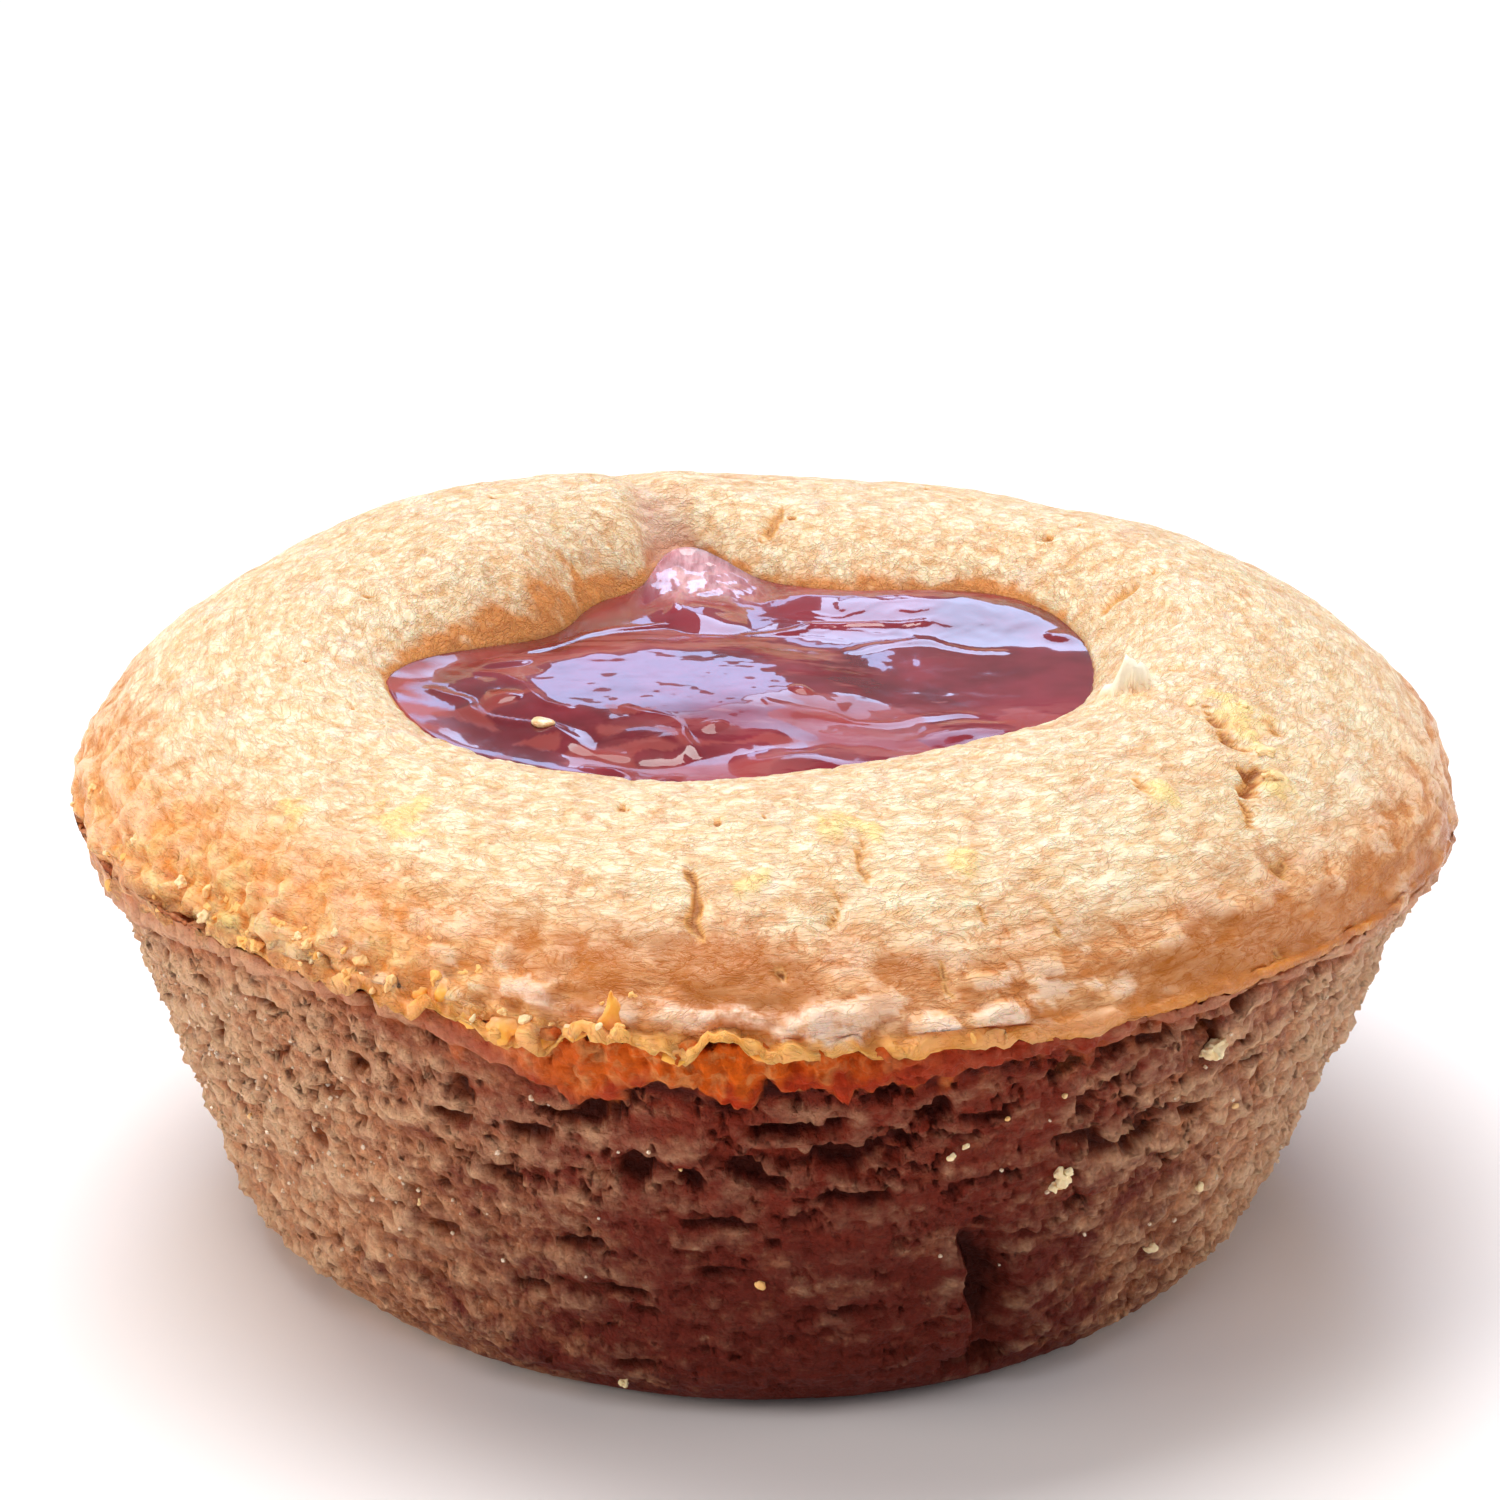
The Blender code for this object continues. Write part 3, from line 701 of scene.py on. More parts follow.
crust_points = places + facing * (relief * shown)[..., None]
crust_points[..., 2] += FLAKE_HEIGHT * flake
crust_surface, crust_heights, crust_angles = (crust_points, facing), heights, angles
crust_sleeve = sleeve("crust_ring", crust_points, "bridge")
crust = crust_sleeve[0]
brown_width = 0.25 + 3.0 * swells(((146, 54, 1.0), (62, 50, 0.42)), angles)
from_pool = np.hypot(radii - pool_radius(angles), heights - pool_edge(angles))
from_pool *= heights >= pool_edge(angles)
well = brown_width * (1 + 0.65 * speckle(places, 1.2, 3, 39)) - from_pool
well = np.clip(well / (0.5 * brown_width), 0, 1)
blush = swell(from_dent + 0.8 * speckle(places, (1.0, 2.0, 1.0), 2, 40), 2.6)
edge = 1 - ease(steps, 7, 16)
# The front of the lip, whose edge is painted as glowing.
glowing = near(angles, -90, 64)
note_fields(
    crust_sleeve, low=low, flaky=flaky, plates=plates, greasy=greasy, crumbly=crumbly, broken=broken,
    shelf=shelf, split=np.clip(split / 0.45, 0, 1), flake=ease(flake, 0.06, 0.35),
    well=well * (radii < top_radius - 0.5),
    blush=blush * (1 - ease(radii, 18.0, 22.5)) * above_lip, knobs=np.clip(0.5 + 1.5 * knobs, 0, 1),
    edge=edge * (0.25 + 0.75 * glowing), rubbed=edge * (1 - glowing), fringe=edge * near(angles, -96, 38),
)
along_skin = crust.data.attributes.new("skin", "FLOAT_VECTOR", "POINT")
along_skin.data.foreach_set("vector", (skin[crust_sleeve[1:]] * MM).astype(np.float32).ravel())

look = Nodes("baked_skin")
spot = look.place(1, 1, 1)
skin_spot = look.add("ShaderNodeAttribute", "Vector", attribute_name="skin")
wrinkle_spot = look.add("ShaderNodeMapping", "Vector", inputs={"Vector": skin_spot, "Scale": (1, 1, 2.3)})
low_share = look.kept("low")
greasy_share = look.kept("greasy")
fine = look.grain(wrinkle_spot, 1.15, 5, 0.66, 0.35)


def furrows(size, detail, width):
    """Thin wandering furrows: 0 in a furrow and 1 between furrows."""
    level = look.grain(wrinkle_spot, size, detail, 0.6, 0.7)
    return look.between(look.sum("ABSOLUTE", look.minus(level, 0.5)), 0.0, width)


wide_furrows, thin_furrows = furrows(2.1, 4, 0.035), furrows(0.95, 3, 0.05)
flakes = look.plus(look.times(look.kept("flaky"), 0.3), look.between(fine, 0.38, 0.62, 0, 0.85))
flakes = look.times(flakes, look.between(wide_furrows, 0, 1, 0.45, 1.0))
flakes = look.times(flakes, look.between(thin_furrows, 0, 1, 0.65, 1.0))
fine = look.plus(look.times(fine, 0.62), look.times(wide_furrows, 0.2))
fine = look.plus(fine, look.times(thin_furrows, 0.16))
top_colour = look.mix(flakes, SKIN_TAN, SKIN_CREAM)
# Pink patches over the top: partly the skin's own tone, partly painted sheen.
top_colour = look.mix(look.patches((skin_spot, 2.6), 0.56, 0.72, 0, 0.45), top_colour, SKIN_PINK)
low_colour = look.mix(look.plus(flakes, look.kept("plates")), SKIN_GOLD, SKIN_PEACH)
warm = look.plus(low_share, look.patches((spot, 3.0), 0.3, 0.7, -0.22, 0.22))
mottled = look.patches((skin_spot, 2.0, 5, 0.7, 0.8), 0.52, 0.62)
mottled = look.times(mottled, look.between(low_share, -0.2, 0.5, 0.1, 0.88))
look.colour = look.mix(mottled, look.mix(look.between(warm, 0.08, 0.62), top_colour, low_colour), SKIN_GOLD)
look.paint_on("plates", look.between(fine, 0.35, 0.6, 0.1, 0.7), SKIN_SHEEN)
look.paint(look.times(greasy_share, look.between(fine, 0.42, 0.62, 1.0, 0.72)), SKIN_GREASY)
grain_share = look.patches((spot, 0.8), 0.35, 0.65, -0.25, 0.5)
grain_share = look.plus(look.times(look.kept("knobs"), 0.7), grain_share)
gold_grains = look.mix(look.patches((spot, 2.2), 0.42, 0.58), SKIN_YELLOW, SKIN_PEACH)
gold_grains = look.mix(grain_share, SKIN_ORANGE, gold_grains)
look.paint_on("crumbly", 0.85, gold_grains)
# Painted light: along the front fringe, the edge's raised tips are painted yellow as lit, glowing tips, over
# the orange of the half-baked dough.
edge_share = look.plus(look.patches((spot, 0.9), 0.38, 0.58, 0.1, 0.8), look.times(look.kept("knobs"), 0.5))
edge_colour = look.mix(look.times(look.kept("fringe"), edge_share), SKIN_ORANGE, EDGE_YELLOW)
look.paint_on("edge", 0.9, edge_colour)
rubbed_share = look.patches((spot, 1.3, 5, 0.7), 0.42, 0.56, 0, 0.8)
look.paint_on("rubbed", rubbed_share, RUBBED_BROWN)
look.paint_on("shelf", look.patches((spot, 0.7), 0.36, 0.56, 0.15, 0.7), SKIN_SHEEN)
broken_colour = look.mix(look.patches((spot, 0.9), 0.3, 0.5), SKIN_GOLD, SKIN_YELLOW)
look.paint_on("broken", 0.78, broken_colour)
look.paint(look.kept("well"), WELL_BROWN)
look.paint(look.kept("flake"), FLAKE_CREAM)
look.paint_on("blush", 0.55, JAM_BLUSH)
look.paint(look.between(look.kept("split"), 0.05, 0.5), SPLIT_TAN)
look.paint(look.between(look.kept("split"), 0.5, 1.0), SPLIT_BROWN)
plain = look.minus(1.0, look.kept("flake"))
normal = look.bump(fine, 0.34, look.times(look.between(greasy_share, 0, 1, 0.85, 0.38), plain))
normal = look.bump(look.grain(spot, 0.26, 3), 0.06, 0.5, normal)
normal = look.bump(look.grain(spot, 0.6, 5, 0.7), 0.3, look.kept("crumbly"), normal)
rough = look.minus(look.between(fine, 0.35, 0.65, 0.6, 0.44), look.times(greasy_share, 0.18))
rough = look.minus(rough, look.times(look.kept("shelf"), 0.2))
look.finish(
    crust, Base_Color=look.colour, Normal=normal, Roughness=rough,
    Subsurface_Weight=look.times(plain, 0.3), Subsurface_Radius=(1.0, 0.45, 0.18), Subsurface_Scale=0.0014,
    Specular_IOR_Level=0.25, Coat_Weight=0.12, Coat_Roughness=0.3,
)
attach(crust, "root")
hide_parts("cookie")

# --- Lip flakes -------------------------------------------------------------------------------
# Thin chips of half-baked dough that squeezed out over the cup's edge and tore there. They hang
# from the ring's lip in a ragged fringe, glassy with butter and sugar, and one stands upright.

# (angle, height, width, tall, thick, paleness) of the chips that are large enough to tell apart.
CHIPS = (
    (-112.6, 21.3, 1.5, 0.9, 0.5, 0.3), (-109.9, 21.0, 1.8, 1.0, 0.5, 0.1),
    (-106.8, 20.8, 2.0, 1.1, 0.5, 0.0), (-101.3, 22.1, 1.2, 1.9, 0.6, 0.4),
    (-96.2, 21.2, 1.9, 1.0, 0.5, 0.0), (-89.8, 21.4, 2.0, 0.9, 0.5, 0.1),
    (-118.0, 21.9, 1.7, 0.8, 0.5, 0.4), (-104.2, 21.6, 1.3, 0.8, 0.5, 0.6),
    (-115.3, 22.1, 1.2, 0.8, 0.5, 0.2),
)
CHIP_GOLD = (1.0, 0.5, 0.07, 1)
CHIP_ORANGE = (0.95, 0.33, 0.035, 1)
CHIP_PALE = (0.94, 0.66, 0.5, 1)


def taken_shape():
    """The points and faces of the object that was just made, which is then removed."""
    data = bpy.context.object.data
    flat = np.empty(len(data.vertices) * 3, dtype=np.float32)
    data.vertices.foreach_get("co", flat)
    faces = np.array([tuple(face.vertices) for face in data.polygons])
    bpy.ops.object.delete()
    return flat.reshape(-1, 3).astype(float), faces


def lump_shape(subdivisions):
    """One round lump of unit radius: its points and its faces."""
    bpy.ops.mesh.primitive_ico_sphere_add(subdivisions=subdivisions, radius=1, location=(0, 0, 0))
    return taken_shape()


def strewn(name, shape, lumps, jag, jag_size, seed):
    """Copies of one lump in one mesh, each (middle, side, up, out) with its half sizes as lengths, and
    each made uneven by jag, a share of its size."""
    points, faces = shape
    middles, sides, ups, outs = (np.array([lump[part] for lump in lumps])[:, None] for part in range(4))
    spread = points[:, 0, None] * sides + points[:, 1, None] * ups + points[:, 2, None] * outs
    placed = middles + spread
    swing = speckle(placed, jag_size, 2, seed) + 0.5 * speckle(placed, np.array(jag_size) / 2.5, 2, seed + 1)
    placed = placed + spread * jag * swing[..., None]
    all_faces = (faces[None] + len(points) * np.arange(len(lumps))[:, None, None]).reshape(-1, 3)
    data = bpy.data.meshes.new(name)
    data.from_pydata((placed.reshape(-1, 3) * MM).tolist(), [], all_faces.tolist())
    piece = bpy.data.objects.new(name, data)
    bpy.context.scene.collection.objects.link(piece)
    bpy.context.view_layer.objects.active = piece
    piece.select_set(True)
    with edit_mode("SELECT"):
        bpy.ops.mesh.normals_make_consistent(inside=False)
    piece.select_set(False)
    return piece


def smoothed(piece):
    bpy.context.view_layer.objects.active = piece
    piece.select_set(True)
    bpy.ops.object.shade_smooth()
    piece.select_set(False)


def per_lump(piece, name, values, lumps):
    note(piece, name, np.repeat(np.asarray(values, dtype=float), len(piece.data.vertices) // lumps))


def seated(surface, spot, half_sizes, spin, lean, lift):
    """A lump's place on a surface: half_sizes run round the cookie, up the surface and out of it."""
    point, normal = surface[0][spot], surface[1][spot]
    round_way = np.array((-(point[1] - AXIS[1]), point[0] - AXIS[0], 0.0))
    round_way /= np.linalg.norm(round_way)
    up_way = np.cross(normal, round_way)
    up_way /= np.linalg.norm(up_way)
    if up_way[2] < 0:
        up_way = -up_way
    side = math.cos(spin) * round_way + math.sin(spin) * up_way
    up = math.cos(spin) * up_way - math.sin(spin) * round_way
    tipped_up = math.cos(lean) * up + math.sin(lean) * normal
    out = math.cos(lean) * normal - math.sin(lean) * up
    return point + normal * lift, side * half_sizes[0], tipped_up * half_sizes[1], out * half_sizes[2]


def outer_step(columns, heights, rows, angle, height):
    """The row and column nearest an angle and a height, on the outer rows of a sleeve."""
    column = int(np.argmin(np.abs(turned(crowded_angles(columns), angle))))
    return rows.start + int(np.argmin(np.abs(heights[rows, column] - height))), column


draw = np.random.default_rng(41)
lumps, paleness = [], []
for angle, height, width, tall, thick, pale in CHIPS:
    spot = outer_step(CRUST_COLUMNS, crust_heights, CRUST_OUTER, angle, height)
    standing = tall >= width * 1.5
    spin, lean, lift = (math.pi, -0.3, 0.0) if standing else (draw.normal(0, 0.12), -0.12, -0.2)
    lumps.append(seated(crust_surface, spot, (width / 1.7, tall / 1.7, thick / 2.6), spin, lean, lift))
    paleness.append(pale)
tooth_points, tooth_faces = lump_shape(4)
tooth_points[:, 0] *= 0.3 + 0.7 * (tooth_points[:, 1] + 1) / 2
chips = strewn("lip_flakes", (tooth_points, tooth_faces), lumps, 0.42, (1.0, 1.0, 1.0), 42)
note(chips, "tip", np.tile((1 - tooth_points[:, 1]) / 2, len(lumps)))
smoothed(chips)
per_lump(chips, "pale", paleness, len(lumps))

look = Nodes("lip_flake")
spot = look.place(1, 1, 1)
facing_up = look.add("ShaderNodeSeparateXYZ", "Z", inputs={0: look.add("ShaderNodeNewGeometry", "Normal")})
look.colour = look.mix(look.patches((spot, 0.9), 0.36, 0.6), CHIP_ORANGE, CHIP_GOLD)
# Painted highlight: each chip is painted paler on its upward faces, where light from above falls, on top of
# the chip's own paleness; the hanging tips are kept gold.
pale_share = look.plus(look.times(look.kept("pale"), 0.75), look.between(facing_up, 0.25, 0.75, -0.1, 0.3))
pale_share = look.minus(pale_share, look.between(look.kept("tip"), 0.35, 0.75, 0, 0.35))
look.paint(look.times(pale_share, look.patches((spot, 0.5), 0.3, 0.6, 0.5, 1)), CHIP_PALE)
look.finish(
    chips, Base_Color=look.colour, Roughness=0.32, Normal=look.bump(look.grain(spot, 0.3, 4), 0.08, 0.6),
    Subsurface_Weight=0.3, Subsurface_Radius=(1.0, 0.6, 0.3), Subsurface_Scale=0.0003, Specular_IOR_Level=0.5,
)
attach(chips, "root")

# --- Loose crumbs -----------------------------------------------------------------------------
# Small crumbs of the same dough: coarse golden ones baked onto the lip, yellow chips where the
# crust broke, and pale ones that cling to the side.

# (angle, height, half width) of the crumbs on the side that are large enough to tell apart.
SIDE_CRUMBS = (
    (-64.4, 12.5, 0.36), (-64.8, 12.0, 0.3), (-64.0, 12.9, 0.26), (-51.5, 17.5, 0.44), (-50.6, 17.0, 0.36),
    (-52.4, 17.5, 0.34), (-104.3, 1.1, 0.3), (-57.0, 13.1, 0.24), (-74.8, 14.9, 0.22), (-73.9, 15.3, 0.2),
    (-46.0, 9.0, 0.22), (-50.2, 6.0, 0.24),
)
# (angle, radius, half width, half height) of the chips of broken crust, which lie on the ring.
BROKEN_CHIPS = (
    (-33.4, 26.9, 0.6, 0.3), (-28.4, 24.6, 0.5, 0.3), (-36.9, 27.9, 0.4, 0.3), (-31.0, 22.6, 0.4, 0.2),
)
LIP_CRUMBS = 60
LIP_CRUMB_SIZES = (0.12, 0.32)
FINE_SIDE_CRUMBS = 26
FINE_CRUMB_SIZES = (0.1, 0.22)
CRUMB_GOLD = (0.96, 0.5, 0.12, 1)
CRUMB_CREAM = (1.0, 0.87, 0.55, 1)


def tumbled(surface, spot, half_sizes, lean, lift):
    """A lump seated at any turn, and leaning by about lean."""
    return seated(surface, spot, half_sizes, draw.uniform(0, 3), draw.normal(0, lean), lift)


def drawn_spots(mask, count):
    """Rows and columns drawn at random where a mask over a surface is high."""
    shares = (mask / mask.sum()).ravel()
    return zip(*np.unravel_index(draw.choice(mask.size, size=count, p=shares), mask.shape))


def nearest_spot(points, x, y, barred):
    """The row and column whose place on plan is nearest to x and y, away from what is barred."""
    gap = np.linalg.norm(points[..., :2] - (x, y), axis=-1) + 50 * barred
    return np.unravel_index(np.argmin(gap), gap.shape)


lumps, paleness = [], []
crust_steps = np.arange(len(crust_heights))[:, None]
lip_zone = near(crust_angles, -138, 40) * swell(crust_heights - 21.6, 2.6)
lip_zone += 0.16 * near(crust_angles, -95, 40) * swell(crust_heights - 21.8, 1.2)
lip_zone *= (crust_steps >= 6) & (crust_steps < CRUST_OUTER.stop)
for spot in drawn_spots(lip_zone, LIP_CRUMBS):
    size = draw.uniform(*LIP_CRUMB_SIZES)
    half_sizes = size * draw.uniform(0.6, 1.2, 3)
    lumps.append(tumbled(crust_surface, spot, half_sizes, 0.4, -0.45 * size))
    paleness.append(draw.choice((0.05, 0.15, 0.4, 0.8)))
for angle, radius, half_width, half_height in BROKEN_CHIPS:
    spot = nearest_spot(crust_points, *on_plan(angle, radius), crust_heights < 21)
    half_sizes = half_width * draw.uniform(0.75, 1.1), half_width * draw.uniform(0.45, 0.8), 0.7 * half_height
    lumps.append(seated(crust_surface, spot, half_sizes, draw.normal(0, 0.5), draw.normal(0.05, 0.12), -0.02))
    paleness.append(draw.uniform(0.45, 0.9))
for angle, height, half_width in SIDE_CRUMBS:
    spot = outer_step(CRUMB_COLUMNS, crumb_heights, CRUMB_OUTER, angle, height)
    half_sizes = half_width * draw.uniform(0.65, 1.05, 3)
    lumps.append(tumbled(crumb_surface, spot, half_sizes, 0.3, 0.35 * half_width))
    paleness.append(0.9)
crumb_steps = np.arange(len(crumb_heights))[:, None]
side_zone = swell(crumb_heights - 11, 10.5) * (crumb_steps < CRUMB_OUTER.stop - 2)
for spot in drawn_spots(side_zone, FINE_SIDE_CRUMBS):
    size = draw.uniform(*FINE_CRUMB_SIZES)
    half_sizes = size * draw.uniform(0.6, 1.1, 3)
    lumps.append(tumbled(crumb_surface, spot, half_sizes, 0.3, 0.2 * size))
    paleness.append(draw.uniform(0.2, 0.6))
crumbs = strewn("loose_crumbs", lump_shape(3), lumps, 0.9, (0.45, 0.45, 0.45), 44)
per_lump(crumbs, "pale", paleness, len(lumps))

look = Nodes("loose_crumb")
spot = look.place(1, 1, 1)
look.colour = look.mix(look.kept("pale"), CRUMB_GOLD, CRUMB_CREAM)
look.paint(look.patches((spot, 0.5), 0.35, 0.6, 0.2, 0), CHIP_ORANGE)
look.finish(
    crumbs, Base_Color=look.colour, Roughness=0.45, Normal=look.bump(look.grain(spot, 0.2, 3), 0.05, 0.6),
    Subsurface_Weight=0.25, Subsurface_Radius=(1.0, 0.6, 0.3), Subsurface_Scale=0.0002,
    Specular_IOR_Level=0.4,
)
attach(crumbs, "root")

# --- Sugar crystals ---------------------------------------------------------------------------
# Grains of sugar that didn't melt. They glint in the crumb of the side, mostly at the left, where
# the dough is palest, and a few sit on the lip.

SUGAR_GRAINS = 260
SUGAR_SIZES = (0.04, 0.11)
SUGAR_WHITE = (0.8, 0.58, 0.42, 1)

lumps = []
sugar_zone = near(crumb_angles, -150, 42) + 0.18 * near(crumb_angles, -40, 40) + 0.03
sugar_zone = sugar_zone * swell(crumb_heights - 12.5, 9.5) * (crumb_steps < CRUMB_OUTER.stop - 4)
for spot in drawn_spots(sugar_zone, SUGAR_GRAINS):
    size = draw.uniform(*SUGAR_SIZES)
    half_sizes = size * draw.uniform(0.7, 1.2, 3)
    lumps.append(tumbled(crumb_surface, spot, half_sizes, 0.6, 0.3 * size))


def block_shape():
    """One grain of sugar: a small block with its corners cut."""
    bpy.ops.mesh.primitive_cube_add(size=2, location=(0, 0, 0))
    with edit_mode("SELECT"):
        bpy.ops.mesh.bevel(offset=0.35, segments=1)
        bpy.ops.mesh.quads_convert_to_tris()
    return taken_shape()


sugar = strewn("sugar_grains", block_shape(), lumps, 0.0, (1.0, 1.0, 1.0), 46)
look = Nodes("sugar")
look.finish(
    sugar, Base_Color=SUGAR_WHITE, Roughness=0.1, Specular_IOR_Level=0.8, Subsurface_Weight=0.5,
    Subsurface_Radius=(1.0, 0.7, 0.5), Subsurface_Scale=0.0004,
)
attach(sugar, "root")

# --- Jam --------------------------------------------------------------------------------------
# Fruit jam that was spooned into the thumbed well and set there. Its skin is glossy and lumpy over
# pieces of fruit, it is wrinkled where it shrank, and it sticks to the dough all round.

JAM_COLUMNS = 420
JAM_TOP_ROWS = 170
JAM_UNDER_ROWS = 12
JAM_GAP = 0.35
# (x, y, half length, half width, lie of its length, rise) of each swell of the jam's surface.
JAM_SWELLS = (
    (3.0, -11.6, 4.6, 2.3, 6, 0.42), (-5.2, -10.2, 2.3, 1.7, 20, 0.3), (-9.5, -9.4, 2.6, 1.1, -25, 0.18),
    (9.0, -8.2, 3.6, 1.4, 28, 0.18), (-12.4, -4.4, 1.3, 0.9, 30, 0.24), (1.6, -3.4, 0.7, 0.6, 0, 0.17),
    (15.0, 5.0, 1.1, 0.9, 0, 0.22), (-2.5, -8.4, 0.7, 0.5, 0, 0.17), (-6.8, -12.8, 1.0, 0.7, 15, 0.2),
    (-4.6, -13.4, 0.8, 0.6, 0, 0.2), (6.5, -10.5, 0.8, 0.5, 10, 0.1), (-3.5, 8.6, 2.4, 3.4, 20, 0.4),
    (-12.5, 1.0, 2.2, 1.2, 40, 0.15),
)
# (x, y, half length, half width, lie, rise) of the flat-topped rise in the middle.
JAM_TABLE = (-4.9, -2.3, 11.6, 9.0, 6, 0.56)
# (x, y) along each fold of the skin, then its half width and rise in millimetres.
JAM_FOLDS = (
    (((-15.8, -3.2), (-12.8, -6.6), (-9.6, -9.2), (-6.6, -11.0)), 0.55, 0.1),
    (((-14.6, 0.6), (-11.6, -2.6), (-9.4, -6.0)), 0.5, 0.08),
    (((-11.6, 2.6), (-8.6, 5.2), (-5.4, 7.0)), 0.5, 0.14),
    (((-6.4, -6.4), (-4.4, -7.6), (-3.4, -10.6)), 0.45, 0.07),
    (((-4.6, 8.6), (-4.0, 11.6), (-4.4, 14.6)), 0.5, 0.14),
    (((0.6, -5.6), (4.6, -6.8), (9.6, -6.0)), 0.7, 0.06),
    (((4.0, 3.6), (8.0, 4.4), (11.6, 3.0)), 0.6, 0.06), (((-1.0, 5.6), (3.0, 6.8), (7.6, 6.6)), 0.55, 0.08),
    (((-8.0, -12.4), (-4.0, -14.0)), 0.45, 0.09), (((10.0, -9.4), (13.6, -6.6)), 0.55, 0.07),
)
# (low y, high y, rise) of the ramp up to the dough at the back right.
JAM_RAMP = (4.6, 12.4, 0.75)
# (near y, far y, fall) of the surface down to the front edge.
JAM_FRONT = (8.0, 14.5, 0.5)
JAM_ROSE = (0.25, 0.026, 0.042, 1)
JAM_CRIMSON = (0.135, 0.011, 0.018, 1)
JAM_SALMON = (0.46, 0.11, 0.08, 1)
JAM_FILM = (0.36, 0.115, 0.115, 1)
JAM_BROWN = (0.16, 0.028, 0.018, 1)
JAM_PALE = (0.78, 0.47, 0.54, 1)

angles = crowded_angles(JAM_COLUMNS)
reach = pool_radius(angles) + 0.25
radii, heights = [], []
for row in range(JAM_UNDER_ROWS):
    turn = math.radians(80 - 76 * row / (JAM_UNDER_ROWS - 1))
    radii.append((pool_radius(angles) - JAM_GAP) * math.cos(turn))
    heights.append(POOL_LEVEL - 0.4 - (WELL_DEPTH - 0.6) * math.sin(turn) + 0 * angles)
for row in range(JAM_TOP_ROWS):
    share = 1 - 0.985 * (row / (JAM_TOP_ROWS - 1)) ** 0.9
    radii.append(reach * share)
    heights.append(POOL_LEVEL + (pool_edge(angles) + 0.12 - POOL_LEVEL) * share ** 7)
radii, heights = np.array(radii), np.array(heights)
places = round_points(angles, radii, heights)
shares = radii / reach
top_side = (np.arange(len(radii)) >= JAM_UNDER_ROWS)[:, None]
inner = 1 - shares ** 10
plan = bent(places, 3.5, (0.8, 0.8, 0), 50)[..., :2]
lumps = 0.07 * speckle(places, 7.0, 1, 53) + 0.02 * speckle(places, 2.0, 3, 54)


def from_middle(x, y, half_length, half_width, lie):
    """How far each place is from an oval's middle, as a share of the oval's half sizes."""
    off = plan - (AXIS[0] + x, AXIS[1] + y)
    lie = math.radians(lie)
    along = (off[..., 0] * math.cos(lie) + off[..., 1] * math.sin(lie)) / half_length
    across = (off[..., 1] * math.cos(lie) - off[..., 0] * math.sin(lie)) / half_width
    return np.hypot(along, across)


lumps += JAM_TABLE[-1] * ease(1 - from_middle(*JAM_TABLE[:-1]), 0.0, 0.52)
for *oval, rise in JAM_SWELLS:
    lumps += rise * np.clip(1 - from_middle(*oval) ** 2, 0, 1) ** 1.3
folds = np.zeros_like(lumps)
for path, half_width, rise in JAM_FOLDS:
    away = nearest_on([np.array(corner) + AXIS for corner in path], plan)
    folds = np.maximum(folds, rise * swell(away, half_width))
lumps += folds
back_right = ease(places[..., 0], -1.5, 3.5)
lumps -= JAM_FRONT[2] * ease(-places[..., 1], *JAM_FRONT[:2])
lumps += JAM_RAMP[2] * ease(places[..., 1] + 0.12 * places[..., 0], *JAM_RAMP[:2]) * back_right
peak = ease(shares, 0.55, 0.8) * near(angles, 104, 22)
wrinkled = np.maximum(peak, back_right * ease(places[..., 1], 3.5, 6.0))
creased = 1 - ease(np.abs(speckle(bent(places, 3.0, (1.0, 1.0, 0), 57), (2.4, 1.5, 3.0), 2, 58)), 0.0, 0.25)
lumps += (0.022 + 0.1 * peak) * creased * wrinkled + 0.08 * peak * speckle(places, (0.7, 1.6, 1.0), 2, 61)
places[..., 2] += lumps * inner * top_side

jam_sleeve = sleeve("jam_pool", places, "fill")
jam = jam_sleeve[0]
streaked = 0.65 + 1.3 * speckle(bent(places, 3.0, (1.0, 1.0, 0), 62), (4.0, 1.1, 3.0), 3, 63)
smears = speckle(bent(places, 3.0, (1.2, 1.2, 0), 56), (5.0, 2.2, 5.0), 2, 59)
film = streaked * ease(shares, 0.84, 0.99) * swells(((192, 34, 1.15), (104, 15, 0.6)), angles)
film = film + 0.5 * ease(smears, 0.12, 0.18) * (places[..., 1] < -4)
tilt = outward(places)
# Where the jam leans back, and at the front right, its gloss is taken off and a greyer mauve is painted, as a
# painted sheen in place of the reflection.
leaning_back = tilt[..., 1] * np.sign(tilt[..., 2])
front_right = ease(-places[..., 1], 2.5, 7.0) * ease(places[..., 0], -9.0, -4.0)
front_right *= 0.75 + 0.9 * speckle(places, (5.0, 2.2, 5.0), 2, 65)
dull = np.maximum(ease(leaning_back, 0.015, 0.07), front_right)
note_fields(
    jam_sleeve, dull=np.clip(dull * (1 - ease(shares, 0.97, 1.0)), 0, 1), film=np.clip(film, 0, 1),
    peak=ease(shares, 0.62, 0.8) * near(angles, 104, 17),
    brown=ease(shares, 0.9, 0.99) * swells(((150, 52, 1.0), (60, 50, 0.5)), angles),
)

look = Nodes("fruit_jam")
spot = look.place(1, 1, 1)
look.colour = look.mix(look.patches((spot, 6.0, 3), 0.36, 0.6), JAM_CRIMSON, JAM_ROSE)
look.paint(look.patches((spot, 1.6, 3), 0.55, 0.75, 0, 0.4), JAM_ROSE)
look.paint_on("film", 0.65, JAM_SALMON)
dull_share = look.patches((look.place(0.6, 1.8, 1), 2.6, 4), 0.46, 0.54, 0, 0.55)
# Painted sheen: the greyer mauve where the gloss is taken off.
look.paint_on("dull", dull_share, JAM_FILM)
look.paint(look.kept("brown"), JAM_BROWN)
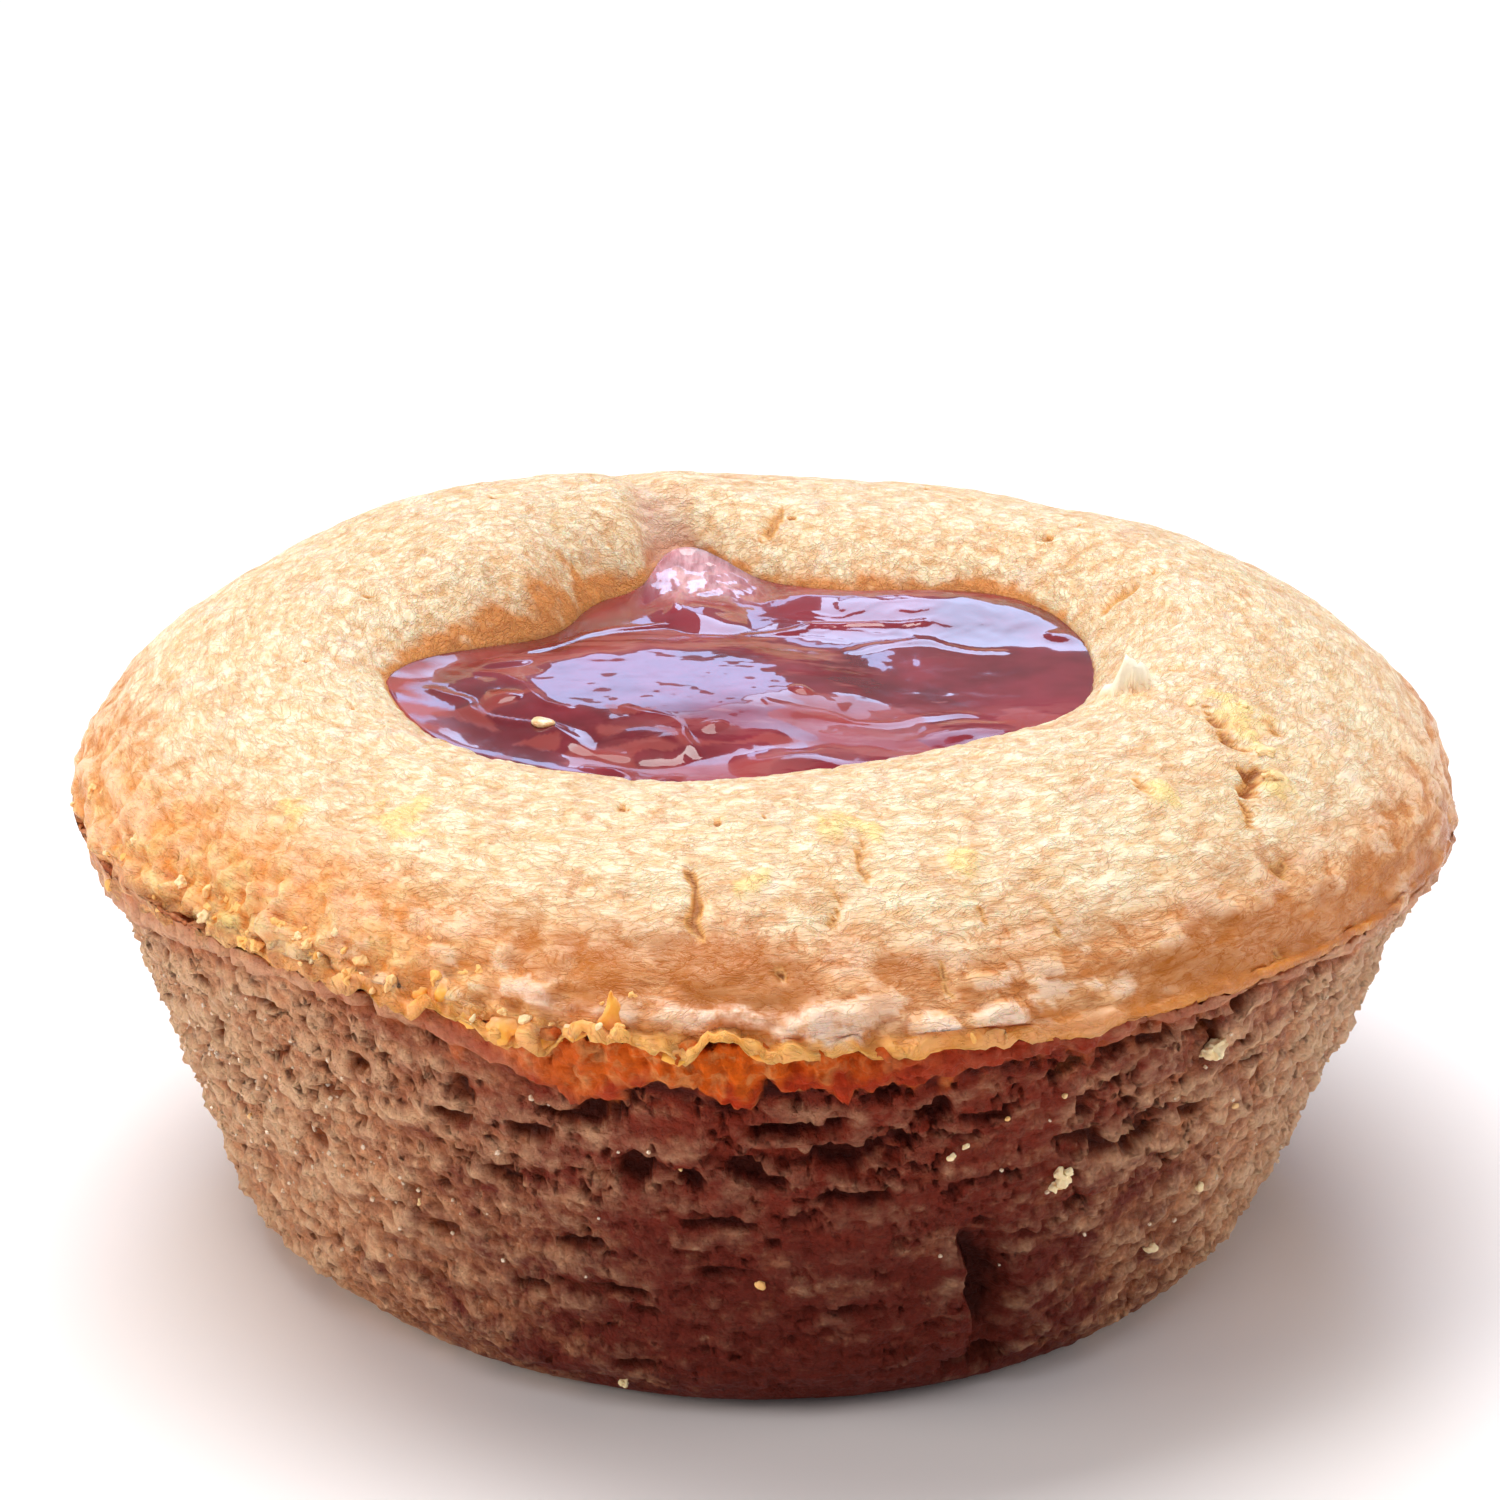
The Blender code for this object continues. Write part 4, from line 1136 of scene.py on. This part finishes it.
# The peak's pale streaks: partly the thin jam over the dough, partly painted highlight.
streaks = look.patches((look.place(2.6, 0.6, 1), 1.1, 4), 0.35, 0.62)
look.paint_on("peak", look.between(streaks, 0, 1, 0.45, 1.0), JAM_PALE)
gloss = look.between(look.kept("film"), 0.1, 0.9, 1.0, 0.2)
gloss = look.times(gloss, look.between(look.kept("dull"), 0, 1, 1, 0.12))
look.finish(
    jam, Base_Color=look.colour, Roughness=look.between(look.kept("film"), 0, 1, 0.12, 0.42),
    Normal=look.bump(look.grain(spot, 1.2, 4), 0.03, 0.35),
    Subsurface_Weight=0.45, Subsurface_Radius=(1.0, 0.15, 0.12), Subsurface_Scale=0.0015,
    Specular_IOR_Level=0.05, Coat_Weight=gloss, Coat_Roughness=0.03,
)
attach(jam, "root")
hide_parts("jam")

# --- Seeds ------------------------------------------------------------------------------------
# A small flat seed of the fruit, which floated up against the jam's skin while it set and shows
# through it as a tan speck.

# (x, y, turn) of each seed.
SEEDS = ((-10.2, -8.0, -25),)
# Half length, half width and half thickness.
SEED_SIZES = (0.62, 0.36, 0.22)
SEED_TAN = (0.8, 0.46, 0.2, 1)

lumps = []
for x, y, spin in SEEDS:
    spot = nearest_spot(places, AXIS[0] + x, AXIS[1] + y, ~top_side + 0 * shares)
    spin = math.radians(spin)
    ways = np.array(((math.cos(spin), math.sin(spin), 0), (-math.sin(spin), math.cos(spin), 0.15), (0, 0, 1)))
    lumps.append((places[spot] + (0, 0, 0.06), *(size * way for size, way in zip(SEED_SIZES, ways))))
seeds = strewn("jam_seeds", lump_shape(3), lumps, 0.12, (0.8, 0.8, 0.8), 60)
smoothed(seeds)
look = Nodes("seed")
spot = look.place(1, 1, 1)
look.finish(
    seeds, Base_Color=look.mix(look.patches((spot, 0.4), 0.4, 0.65), SEED_TAN, CRUMB_CREAM), Roughness=0.3,
    Normal=look.bump(look.grain(spot, 0.15, 2), 0.03, 0.6), Coat_Weight=0.8, Coat_Roughness=0.05,
)
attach(seeds, "root")

# --- Floor, lights and camera -----------------------------------------------------------------
# A plain pale table, one large soft light above and behind, a pale window low behind it that the
# jam mirrors, soft lights at both sides, and a weak one high in front.

TABLE_SIZE = 6
TABLE_WHITE = (0.93, 0.93, 0.94, 1)
LAMP_AIM = (0, 0, 0.02)
# (name, place, size in metres, power in watts, colour) of each lamp.
LAMPS = (
    ("overhead", (-0.06, 0.14, 0.6), (0.5, 0.4), 4.05, (1.0, 0.955, 0.94)),
    ("back_window", (-0.022, 0.5, 0.207), (0.08, 0.046), 0.036, (0.38, 0.58, 1.0)),
    ("upper_window", (0.034, 0.5, 0.326), (0.12, 0.15), 0.29, (0.48, 0.66, 1.0)),
    ("high_front", (-0.05, -0.34, 0.5), (0.3, 0.2), 0.55, (1.0, 0.94, 0.95)),
    ("left_side", (-0.5, -0.14, 0.17), (0.25, 0.2), 1.25, (1.0, 0.91, 0.8)),
    ("right_side", (0.5, -0.02, 0.18), (0.25, 0.2), 0.62, (1.0, 0.92, 0.84)),
)
ROOM_COLOUR = (0.97, 0.96, 1.0, 1)
ROOM_STRENGTH = 0.26
CAMERA_TILT = math.radians(20.9)
CAMERA_DISTANCE = 0.195
CAMERA_AIM = (-0.00069, 0.0223)
FILM_WIDTH = 36
FOCAL_LENGTH = 96.16

bpy.ops.mesh.primitive_plane_add(size=TABLE_SIZE, location=(0, 0, 0))
floor = bpy.context.object
floor.name = "floor"
look = Nodes("pale_table")
look.finish(floor, Base_Color=TABLE_WHITE, Roughness=0.7)
floor.select_set(False)


def soft_light(name, place, size, power, colour):
    data = bpy.data.lights.new(name, "AREA")
    data.shape = "RECTANGLE"
    data.size, data.size_y = size
    data.energy = power
    data.color = colour
    lamp = bpy.data.objects.new(name, data)
    lamp.location = place
    lamp.rotation_euler = (Vector(LAMP_AIM) - Vector(place)).to_track_quat("-Z", "Y").to_euler()
    bpy.context.scene.collection.objects.link(lamp)


for lamp in LAMPS:
    soft_light(*lamp)

world = bpy.data.worlds.new("room")
bpy.context.scene.world = world
world.use_nodes = True
backdrop = world.node_tree.nodes["Background"]
backdrop.inputs["Color"].default_value = ROOM_COLOUR
backdrop.inputs["Strength"].default_value = ROOM_STRENGTH
bpy.context.scene.view_settings.view_transform = "Standard"

lens = bpy.data.cameras.new("camera")
lens.sensor_width = FILM_WIDTH
lens.lens = FOCAL_LENGTH
lens.clip_start = 0.005
camera = bpy.data.objects.new("camera", lens)
stand = Vector((AXIS[0] * MM, AXIS[1] * MM, RIM_HEIGHT * MM))
camera.location = stand + Vector((0, -math.cos(CAMERA_TILT), math.sin(CAMERA_TILT))) * CAMERA_DISTANCE
aim = Vector((AXIS[0] * MM + CAMERA_AIM[0], AXIS[1] * MM, CAMERA_AIM[1]))
camera.rotation_euler = (aim - camera.location).to_track_quat("-Z", "Y").to_euler()
bpy.context.scene.collection.objects.link(camera)
bpy.context.scene.camera = camera
